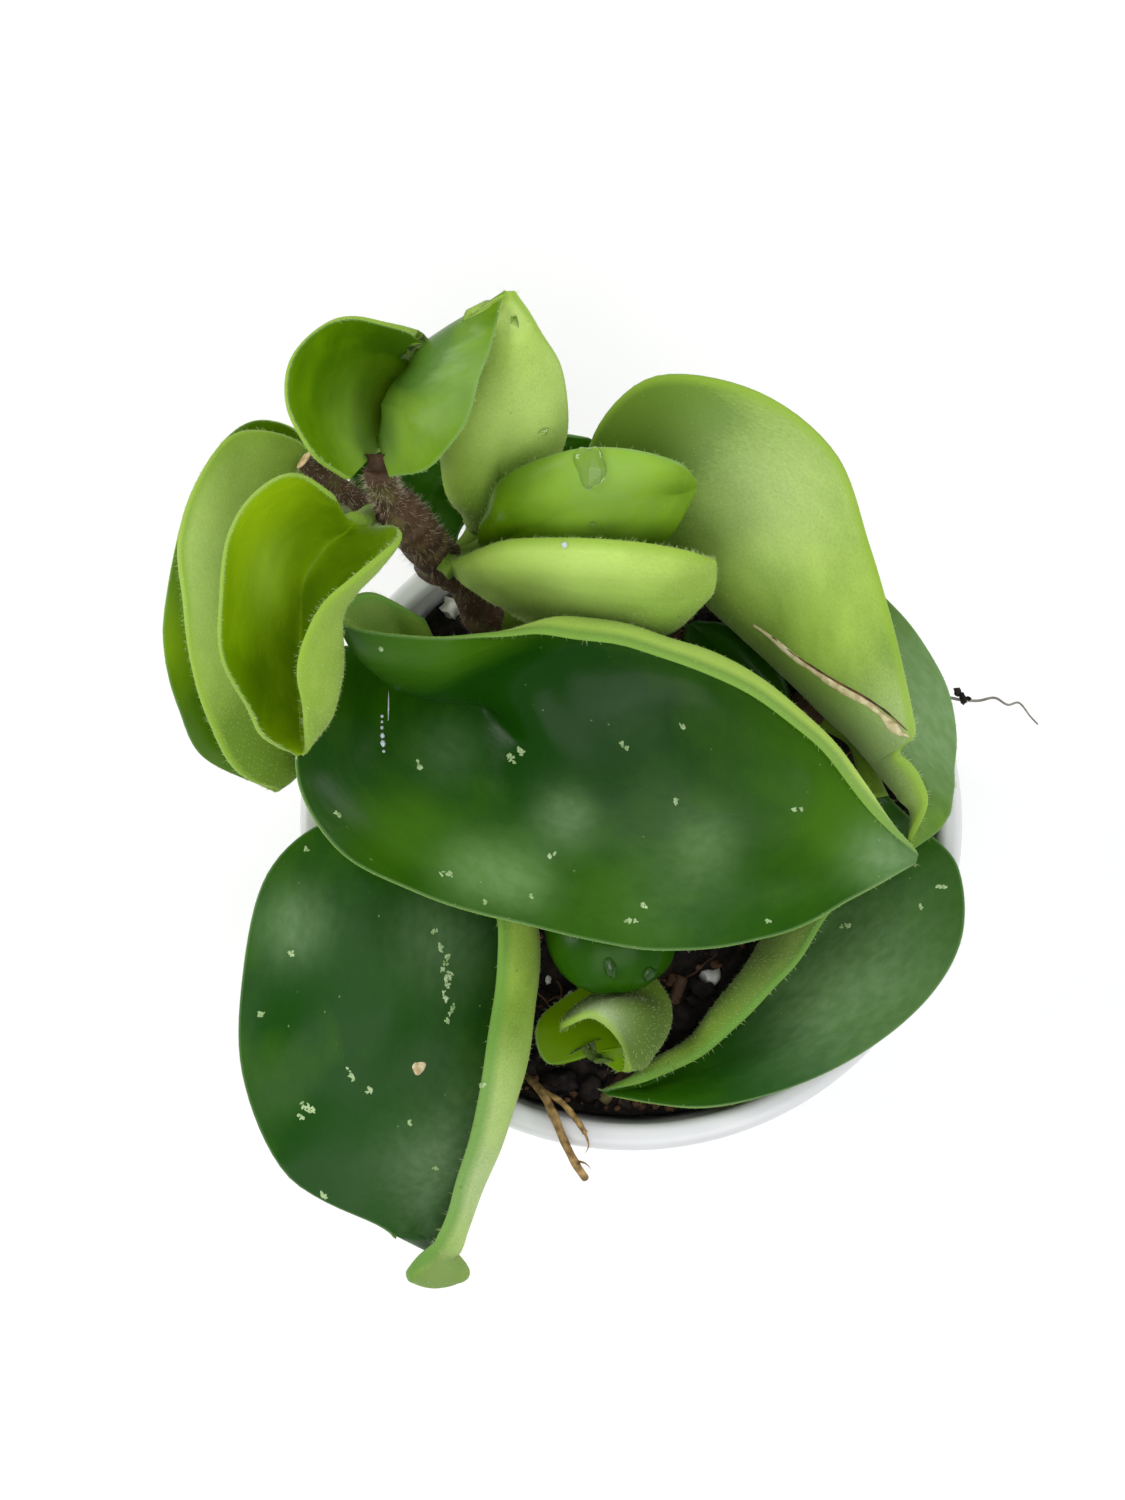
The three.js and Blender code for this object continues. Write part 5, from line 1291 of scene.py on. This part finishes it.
def soil_height(x, y):
    """Height of the soil: its level, the broad waves of the solid and two finer ranges of ripples."""
    squares = np.sin(SOIL_WAVE["x"] * x + SOIL_WAVE["x_shift"]) * np.cos(SOIL_WAVE["y"] * y - SOIL_WAVE["y_shift"])
    slanting = SOIL_WAVE["slant_share"] * np.sin(SOIL_WAVE["slant"] * (x + y))
    fine = sum(height * ripples(x, y, *waves) for height, *waves in SOIL_RIPPLES)
    return POT_HEIGHT - SOIL_BELOW_RIM + SOIL_RELIEF * (squares + slanting) + fine


def soil_part(rim, tall):
    """Soil as a closed skin: a level bottom, a wall a little inside the pot's, and a top of even rings lifted to
    the height of the soil."""
    level, bottom = tall - SOIL_BELOW_RIM, FLOOR + SEAT_GAP
    rings = np.linspace(inner_radius(level, rim, tall) - SEAT_GAP, 0, SOIL_RINGS)
    profile = np.vstack([[[0, bottom], [inner_radius(bottom, rim, tall) - SEAT_GAP, bottom]],
                         np.column_stack([rings, np.full(SOIL_RINGS, level)])])
    points, faces = lathe(profile, SOIL_SIDES)
    top = points[:, 2] > level - 1
    points[top, 2] = soil_height(points[top, 0], points[top, 1])
    return part(points, {"potting_soil": faces})


def ball(finer):
    """Points and faces of a ball of 20 faces, whose points lie on three golden rectangles, or of 80: there each face
    is cut in four at the middles of its edges, which are moved out to the ball."""
    golden = (1 + 5**0.5) / 2
    points = unit(np.array([[-1, golden, 0], [1, golden, 0], [-1, -golden, 0], [1, -golden, 0],
                            [0, -1, golden], [0, 1, golden], [0, -1, -golden], [0, 1, -golden],
                            [golden, 0, -1], [golden, 0, 1], [-golden, 0, -1], [-golden, 0, 1]]))
    faces = np.array([[0, 11, 5], [0, 5, 1], [0, 1, 7], [0, 7, 10], [0, 10, 11], [1, 5, 9], [5, 11, 4],
                      [11, 10, 2], [10, 7, 6], [7, 1, 8], [3, 9, 4], [3, 4, 2], [3, 2, 6], [3, 6, 8],
                      [3, 8, 9], [4, 9, 5], [2, 4, 11], [6, 2, 10], [8, 6, 7], [9, 8, 1]])
    if not finer:
        return points, faces
    edges = np.unique(np.sort(np.vstack([faces[:, [0, 1]], faces[:, [1, 2]], faces[:, [2, 0]]]), 1), axis=0)
    number = {frozenset(edge): len(points) + k for k, edge in enumerate(edges.tolist())}
    cut = []
    for a, b, c in faces.tolist():
        ab, bc, ca = (number[frozenset(pair)] for pair in ((a, b), (b, c), (c, a)))
        cut += [(a, ab, ca), (ab, b, bc), (ca, bc, c), (ab, bc, ca)]
    return np.vstack([points, unit(points[edges].mean(1))]), np.array(cut)


def lumps_part(look, rng, centres, sizes, finer):
    """Small rough stones: a ball of 20 faces, or of 80 where finer, each point pushed in or out at random, then
    stretched, turned and moved to its centre."""
    smooth, faces = ball(finer)
    count = len(centres)
    shape = smooth * (1 + LUMP_RELIEF * rng.normal(size=(count, len(smooth), 1)))
    shape = shape * sizes[:, None, None] * rng.uniform(*LUMP_STRETCH, (count, 1, 3))
    turn = np.linalg.qr(rng.normal(size=(count, 3, 3)))[0]
    turn *= np.sign(np.linalg.det(turn))[:, None, None]
    points = np.einsum("nij,nkj->nki", turn, shape) + centres[:, None]
    return part(points, {look: (faces + len(smooth) * np.arange(count)[:, None, None]).reshape(-1, 3).tolist()})


def grain_sizes(rng, count, middle, spread, least, most):
    """Random sizes of grains, with more small ones than large: middle·exp(spread·normal), kept within limits."""
    return rng.lognormal(np.log(middle), spread, count).clip(least, most)


def on_soil(rng, count, reach, margin, lift):
    """Random places above the soil, that keep a margin from the wall at reach."""
    radius, a = (reach - margin) * np.sqrt(rng.random(count)), rng.uniform(0, 2 * np.pi, count)
    x, y = radius * np.cos(a), radius * np.sin(a)
    return np.column_stack([x, y, soil_height(x, y) + lift])


def front_crumbs(rng, reach):
    """Crumbs of bark along the wall in front."""
    crumbs, count = FRONT_CRUMBS, FRONT_CRUMBS["count"]
    a, radius = rng.uniform(*np.radians(crumbs["arc"]), count), reach - rng.uniform(*crumbs["inward"], count)
    x, y = radius * np.cos(a), radius * np.sin(a)
    places = np.column_stack([x, y, soil_height(x, y) + crumbs["lift"]])
    return lumps_part("bark_chip", rng, places, rng.uniform(*crumbs["sizes"], count), False)


def fibre_parts(rng, reach):
    """Fine roots and fibres on the soil: thin tubes along short random walks that lie on its surface."""
    parts = []
    steps = FIBRES["points"]
    for start in on_soil(rng, FIBRES["count"], reach, 0, 0):
        turns = np.cumsum(rng.normal(0, FIBRES["turn"], steps)) + rng.uniform(0, 2 * np.pi)
        x = start[0] + np.cumsum(np.cos(turns)) * rng.uniform(*FIBRES["step"])
        y = start[1] + np.cumsum(np.sin(turns)) * rng.uniform(*FIBRES["step"])
        inside = np.minimum(1, reach / np.maximum(np.hypot(x, y), 1e-6))
        x, y = x * inside, y * inside
        lift = (rng.uniform(*FIBRES["lift"])
                + FIBRES["arch"] * np.abs(np.sin(np.arange(steps) * rng.uniform(*FIBRES["pace"]))))
        route = np.column_stack([x, y, soil_height(x, y) + lift])
        points, faces = tube(route, rng.uniform(*FIBRES["radius"]), *TUBES["fibre"])
        parts.append(part(points, {"bark_chip": faces}))
    return parts


# Stems and roots


def bark_width(radius, seed, knots):
    """Radius of a stem along its way: slightly uneven, and thicker at each knot by relief·exp(-(distance/length)²)."""
    def at(u):
        rough = 1 + BARK_RELIEF * ripples(u * BARK_SPAN, u * 0, seed, *BARK_WAVES)
        return radius * rough * (1 + sum(KNOT_RELIEF * np.exp(-((u - knot) / KNOT_LENGTH)**2) for knot in knots))
    return at


def stem_parts(branches, seed):
    """Stems that grow from one another: for each a tube with knots and fine lengthwise ridges."""
    parts = []
    sides, steps = TUBES["stem"]
    for number, (route, width, knots) in enumerate(branches):
        points, faces = tube(route, bark_width(width / 2, seed + number, knots), sides, steps)
        centre = catmull(route, np.repeat(np.linspace(0, 1, steps + 1), sides))
        round_it = np.tile(np.arange(sides), steps + 1) * 1.0
        ridge = RIDGE_HEIGHT * ripples(round_it, centre[:, 2], seed + SEEDS["ridge"] + number, *RIDGE_WAVES)
        points = points + unit(points - centre) * ridge[:, None]
        parts.append(part(points, {"woody_stem": faces}))
    return parts


def cut_end(branch):
    """Cut face at the end of a branch: a shallow dome square to its last stretch, a little narrower than it."""
    route, width, _ = branch
    end, before = np.array(route[-1], float), np.array(route[-2], float)
    radius = width * CUT_SHARE
    points, faces = dome(end, unit(end - before), radius, radius, CUT_HEIGHT, CUT_TURN, SEEDS["cut"], *DOMES["bark"])
    return part(points, {"cut_wood": faces})


def stem_down(branches, rng, width):
    """Short light hairs round stems, square to them."""
    count, stray = STEM_HAIRS["count"], STEM_HAIRS["stray"]
    roots, ways = [], []
    for route, thick, _ in branches:
        u = rng.random(count)
        centre = catmull(route, u)
        ahead = unit(catmull(route, np.minimum(u + WAY_STEP, 1)) - catmull(route, np.maximum(u - WAY_STEP, 0)))
        way = unit(np.cross(ahead, rng.normal(size=(count, 3))))
        roots.append(centre + way * thick / 2 * STEM_HAIRS["root"])
        ways.append(unit(way + stray * rng.normal(size=(count, 3))))
    lengths = STEM_HAIRS["length"] * rng.uniform(*FRINGE_LENGTHS, count * len(branches))
    points, faces = thorns(np.vstack(roots), np.vstack(ways), lengths, width)
    return part(points, {"stem_hair": faces})


# Marks on leaves


@lru_cache(maxsize=None)
def leaf_tree(name, columns, face):
    """Search tree of one face of a blade."""
    grid = blade(name, columns)[face]
    faces = grid_faces(*grid.shape[:2], flip=face == "downy")
    return BVHTree.FromPolygons(grid.reshape(-1, 3).tolist(), faces.tolist())


def on_leaf(name, columns, face, places):
    """Nearest points of a face of a blade to places, and the normals there."""
    tree = leaf_tree(name, columns, face)
    found = [tree.find_nearest(Vector(place)) for place in places]
    return np.array([f[0] for f in found]), np.array([f[1] for f in found])


def marks(table, columns):
    """For each row of a table of marks: leaf, face, the point on the leaf and its normal, and the other numbers."""
    for name, face, rows in table:
        for row in rows:
            (centre,), (normal,) = on_leaf(name, columns, face, [row[:3]])
            yield name, face, centre, normal, row[3:]


def level_way(normal, turn):
    """Way along a surface that is square to a nearly level direction, turned by an angle."""
    return unit(np.cross(normal, [np.cos(turn), np.sin(turn), TURN_RISE]))


def dome(centre, normal, long, wide, high, turn, seed, rings, sides):
    """Drop on a surface: rings whose radius goes as sin and height as cos of an angle from the top to the rim, with
    an uneven outline, closed below by a shallow mirrored cap that sinks in the surface."""
    a = np.linspace(0, 2 * np.pi, sides, endpoint=False)
    uneven = 1 + DROP_RELIEF * ripples(np.cos(a) * DROP_SPAN, np.sin(a) * DROP_SPAN, seed, *DROP_WAVES)
    tilt = np.linspace(0, np.pi, 2 * rings + 1)[1:-1]
    height = np.where(tilt < np.pi / 2, np.cos(tilt) * high, np.cos(tilt) * high * DROP_SINK)
    side = level_way(normal, turn)
    up = np.cross(normal, side)
    flat = side * (np.cos(a) * uneven * long)[:, None] + up * (np.sin(a) * uneven * wide)[:, None]
    points = centre + flat[None] * np.sin(tilt)[:, None, None] + normal * height[:, None, None]
    poles = [centre + normal * high, centre - normal * high * DROP_SINK]
    return np.vstack([points.reshape(-1, 3), poles]), skin_faces(len(tilt), sides)


def ribbon(places, normals, widths, height):
    """Low ridge along a line on a surface: at each point an ellipse, as wide as given and as high as given, half
    sunk in the surface."""
    side = unit(np.cross(along(places), normals))
    a = np.linspace(0, 2 * np.pi, RIBBON_SIDES, endpoint=False)[None, :, None]
    points = (places[:, None] + side[:, None] * np.cos(a) * widths[:, None, None] / 2
              + normals[:, None] * np.sin(a) * height)
    return points.reshape(-1, 3), tube_faces(len(places), RIBBON_SIDES)


def dried_drop_parts(columns):
    """Dried drops: for each a random heap of thin flakes on an ellipse, denser the larger it is."""
    parts = []
    for number, (name, face, centre, normal, (long, wide, turn)) in enumerate(marks(DRIED_DROPS, columns)):
        rng = np.random.default_rng(number)
        side = level_way(normal, turn)
        flakes = int(FLAKE_COUNT[0] + FLAKE_COUNT[1] * long * wide)
        out, about = rng.uniform(0, 1, flakes)**0.5, rng.uniform(0, 2 * np.pi, flakes)
        near = (centre + side * (out * np.cos(about) * long / 2)[:, None]
                + np.cross(normal, side) * (out * np.sin(about) * wide / 2)[:, None])
        for k, (spot, way) in enumerate(zip(*on_leaf(name, columns, face, near))):
            wider, longer = rng.uniform(*FLAKE_WIDTH), rng.uniform(*FLAKE_LENGTH)
            points, faces = dome(spot, unit(way), longer, wider, FLAKE_HEIGHT, rng.uniform(*FLAKE_TURN),
                                 SEEDS["flake"] * number + k, *DOMES["flake"])
            parts.append(part(points, {"dried_drop": faces}))
    return parts


def scar_parts(columns):
    """Corky spots as low domes, and scars as ridges along a line, √sin wide over their length."""
    parts = []
    for number, (*_, centre, normal, (long, wide, turn)) in enumerate(marks(CORKY_SPOTS, columns)):
        points, faces = dome(centre, normal, long / 2, wide / 2, CORKY_HEIGHT, turn, SEEDS["corky"] + number,
                             *DOMES["bark"])
        parts.append(part(points, {"corky_scar": faces}))
    u = np.linspace(0, 1, SCAR_STEPS)
    for number, (name, face, line, wide, high, look) in enumerate(SCARS):
        places, normals = on_leaf(name, columns, face, catmull(line, u))
        uneven = 1 + SCAR_RELIEF * ripples(u * SCAR_SPAN, u, number, *SCAR_WAVES)
        widths = wide * np.sin(np.pi * np.clip(u, *SCAR_ENDS))**0.5 * uneven
        points, faces = ribbon(places, unit(normals), widths, high)
        parts.append(part(points, {look: faces}))
    return parts


def water_parts(columns):
    """Drops of water, clear where they are large, and pale where they are small, which paints their glints."""
    parts = []
    for number, (*_, centre, normal, (long, wide, high, turn)) in enumerate(marks(WATER_DROPS, columns)):
        points, faces = dome(centre, normal, long / 2, wide / 2, high, turn, SEEDS["water"] + number, *DOMES["water"])
        clear = long > CLEAR_DROP[0] and wide > CLEAR_DROP[1]
        parts.append(part(points, {"clear_water" if clear else "water_with_painted_glint": faces}))
    return parts


# Operators


class PLANT_OT_stage(bpy.types.Operator):
    """Make the pale floor, the soft lights and the camera above the plant"""

    bl_idname = "rope_plant.stage"
    bl_label = "Stage"
    bl_options = {"REGISTER", "UNDO"}

    def execute(self, context):
        scene = context.scene
        mesh = bpy.data.meshes.new("floor")
        line = np.linspace(-FLOOR_SIZE / 2, FLOOR_SIZE / 2, FLOOR_POINTS)
        x, y = np.meshgrid(line, line)
        mesh.from_pydata(np.stack([x, y, np.full_like(x, -FLOOR_DROP)], -1).reshape(-1, 3), [],
                         grid_faces(FLOOR_POINTS, FLOOR_POINTS).tolist())
        mesh.materials.append(finish("studio_floor"))
        floor = bpy.data.objects.new("floor", mesh)
        scene.collection.objects.link(floor)
        for name, (place, aim, size, power, tint) in LIGHTS.items():
            light = bpy.data.lights.new(name, "AREA")
            light.shape = "SQUARE"
            light.size, light.energy, light.color = size, power, linear(tint)
            lamp = bpy.data.objects.new(name, light)
            lamp.location = place
            lamp.rotation_euler = (Vector(aim) - Vector(place)).to_track_quat("-Z", "Y").to_euler()
            scene.collection.objects.link(lamp)
        world = bpy.data.worlds.new("studio")
        world.use_nodes = True
        background = world.node_tree.nodes["Background"]
        background.inputs["Color"].default_value = opaque(WORLD_TINT)
        background.inputs["Strength"].default_value = WORLD_STRENGTH
        scene.world = world
        # The plain view keeps the greens as deep as they are written
        scene.view_settings.view_transform = "Standard"
        lens = bpy.data.cameras.new("camera")
        lens.lens, lens.sensor_width, lens.clip_start = CAMERA_LENS, SENSOR_WIDTH, NEAREST
        camera = bpy.data.objects.new("camera", lens)
        ahead = Vector((0, np.sin(CAMERA_TILT), -np.cos(CAMERA_TILT)))
        up = Vector((0, np.cos(CAMERA_TILT), np.sin(CAMERA_TILT)))
        place = Vector(CAMERA_AIM) - ahead * CAMERA_DISTANCE
        turned = Matrix((ahead.cross(up), up, -ahead)).transposed().to_4x4()
        camera.matrix_world = Matrix.Translation(place) @ turned
        scene.collection.objects.link(camera)
        scene.camera = camera
        return {"FINISHED"}


class PLANT_OT_pot(bpy.types.Operator):
    """Make the thin white nursery pot with its rolled lip"""

    bl_idname = "rope_plant.pot"
    bl_label = "Pot"
    bl_options = {"REGISTER", "UNDO"}

    def execute(self, context):
        pot = context.scene.rope_plant.pot
        points, faces = lathe(pot_profile(pot.rim_diameter / MM, pot.height / MM), POT_SIDES)
        piece("pot_moulded", [part(points, {"moulded_polypropylene": faces})], ("pot",))
        return {"FINISHED"}


class PLANT_OT_soil(bpy.types.Operator):
    """Make the potting soil with its crumbs, fibres, bark chips and perlite"""

    bl_idname = "rope_plant.soil"
    bl_label = "Soil"
    bl_options = {"REGISTER", "UNDO"}

    def execute(self, context):
        rng = np.random.default_rng(SEEDS["soil"])
        pot = context.scene.rope_plant.pot
        rim, tall = pot.rim_diameter / MM, pot.height / MM
        reach = inner_radius(tall - SOIL_BELOW_RIM, rim, tall) - SEAT_GAP
        sizes = grain_sizes(rng, pot.crumbs, *CRUMB_SIZES)
        crumbs = lumps_part("potting_soil", rng, on_soil(rng, pot.crumbs, reach, *CRUMB_SEAT), sizes, False)
        *places, sizes = np.array(SOIL_CLUMPS).T
        clumps = lumps_part("potting_soil", rng, np.column_stack(places), sizes, True)
        piece("soil_bed", [soil_part(rim, tall), crumbs, clumps], ("soil",))
        sizes = grain_sizes(rng, CHIPS, *CHIP_SIZES)
        chips = lumps_part("bark_chip", rng, on_soil(rng, CHIPS, reach, *CHIP_SEAT), sizes, True)
        front = front_crumbs(rng, reach)
        route, width, knots = SOIL_ROOT
        points, faces = tube(route, bark_width(width / 2, SEEDS["soil_root"], knots), *TUBES["soil_root"])
        fibres = fibre_parts(rng, reach - FIBRES["inward"])
        piece("soil_bark", [chips, front, part(points, {"woody_stem": faces}), *fibres])
        places = np.vstack([PERLITE_PLACES, on_soil(rng, pot.perlite, reach, *PERLITE_SEAT)])
        sizes = np.append(PERLITE_LARGE, grain_sizes(rng, pot.perlite, *PERLITE_SIZES))
        piece("soil_perlite", [lumps_part("perlite", rng, places, sizes, True)])
        return {"FINISHED"}


class PLANT_OT_stems(bpy.types.Operator):
    """Make the woody stems with their knots, the cut stub and their short hairs"""

    bl_idname = "rope_plant.stems"
    bl_label = "Stems"
    bl_options = {"REGISTER", "UNDO"}

    def execute(self, context):
        for number, (name, branches) in enumerate(STEMS.items()):
            parts = stem_parts(branches, SEEDS["stem"] * number)
            if name == "stem_main":
                parts.append(cut_end(branches[-1]))
            piece(name + "_bark", parts, (name,))
        rng = np.random.default_rng(SEEDS["stem_down"])
        hairs = stem_down(STEMS["stem_main"], rng, context.scene.rope_plant.hairs.width / MM)
        piece("stem_down", [hairs])
        return {"FINISHED"}


class PLANT_OT_roots(bpy.types.Operator):
    """Make the dry root that hangs over the lip and the thin rootlet at the right"""

    bl_idname = "rope_plant.roots"
    bl_label = "Roots"
    bl_options = {"REGISTER", "UNDO"}

    def execute(self, context):
        parts = []
        for number, (route, width) in enumerate(FRONT_ROOT):
            points, faces = tube(route, bark_width(width / 2, SEEDS["root"] + number, ROOT_KNOTS), *TUBES["root"])
            parts.append(part(points, {"dry_root": faces}))
        for route in ROOT_HAIRS:
            points, faces = tube(route, lambda u: ROOT_HAIR_RADIUS * (ROOT_HAIR_TAPER - u), *TUBES["root_hair"])
            parts.append(part(points, {"dry_root": faces}))
        piece("root_dry", parts, ("root_front",))
        points, faces = tube(RIGHT_ROOTLET, lambda u: ROOTLET_RADIUS[0] - ROOTLET_RADIUS[1] * u,
                             *TUBES["rootlet"])
        *places, sizes = np.array(ROOTLET_CRUMBS).T
        rng = np.random.default_rng(SEEDS["rootlet"])
        crumbs = lumps_part("potting_soil", rng, np.column_stack(places), sizes, True)
        piece("rootlet_right", [part(points, {"dry_rootlet": faces}), crumbs])
        return {"FINISHED"}


class PLANT_OT_leaves(bpy.types.Operator):
    """Make the thick twisted leaves with their stalks"""

    bl_idname = "rope_plant.leaves"
    bl_label = "Leaves"
    bl_options = {"REGISTER", "UNDO"}

    def execute(self, context):
        columns = context.scene.rope_plant.leaves.fineness
        for name, leaf in LEAVES.items():
            piece(name + "_blade", [blade_part(name, columns), petiole_part(name)], (name,))
        return {"FINISHED"}


class PLANT_OT_down(bpy.types.Operator):
    """Make the down on the undersides of the leaves and the fringe along their margins"""

    bl_idname = "rope_plant.down"
    bl_label = "Down"
    bl_options = {"REGISTER", "UNDO"}

    def execute(self, context):
        settings = context.scene.rope_plant
        rng = np.random.default_rng(SEEDS["down"])
        groups = {"down_upper": UPPER_LEAVES, "down_lower": [name for name in LEAVES if name not in UPPER_LEAVES]}
        for group, names in groups.items():
            piece(group, [down_part(name, settings.leaves.fineness, settings.hairs, rng) for name in names])
        return {"FINISHED"}


class PLANT_OT_marks(bpy.types.Operator):
    """Make the dried drops, the corky scars and the drops of water on the leaves"""

    bl_idname = "rope_plant.marks"
    bl_label = "Marks"
    bl_options = {"REGISTER", "UNDO"}

    def execute(self, context):
        columns = context.scene.rope_plant.leaves.fineness
        piece("dried_drops", dried_drop_parts(columns))
        piece("corky_scars", scar_parts(columns))
        piece("water_drops", water_parts(columns))
        return {"FINISHED"}


class PLANT_PT_panel(bpy.types.Panel):
    """Lists the operators and the settings of the plant."""

    bl_label = "Hindu rope plant"
    bl_idname = "PLANT_PT_rope_plant"
    bl_space_type = "VIEW_3D"
    bl_region_type = "UI"
    bl_category = "Plant"

    def draw(self, context):
        for operator in OPERATORS:
            self.layout.operator(operator.bl_idname)
        settings = context.scene.rope_plant
        for group in (settings.leaves, settings.hairs, settings.pot):
            box = self.layout.box()
            for name in group.bl_rna.properties.keys():
                if name not in {"rna_type", "name"}:
                    box.prop(group, name)


OPERATORS = (PLANT_OT_stage, PLANT_OT_pot, PLANT_OT_soil, PLANT_OT_stems, PLANT_OT_roots, PLANT_OT_leaves,
             PLANT_OT_down, PLANT_OT_marks)
CLASSES = (LeafSettings, HairSettings, PotSettings, PlantSettings, *OPERATORS, PLANT_PT_panel)


def register():
    """Registers the settings, the operators and the panel."""
    for made in CLASSES:
        bpy.utils.register_class(made)
    bpy.types.Scene.rope_plant = PointerProperty(type=PlantSettings)


def unregister():
    """Takes them away again."""
    del bpy.types.Scene.rope_plant
    for made in reversed(CLASSES):
        bpy.utils.unregister_class(made)


def main():
    """Builds the plant and its stage."""
    register()
    bpy.ops.rope_plant.stage()
    bpy.ops.rope_plant.pot()
    bpy.ops.rope_plant.soil()
    bpy.ops.rope_plant.stems()
    bpy.ops.rope_plant.roots()
    bpy.ops.rope_plant.leaves()
    bpy.ops.rope_plant.down()
    bpy.ops.rope_plant.marks()


if __name__ == "__main__":
    main()
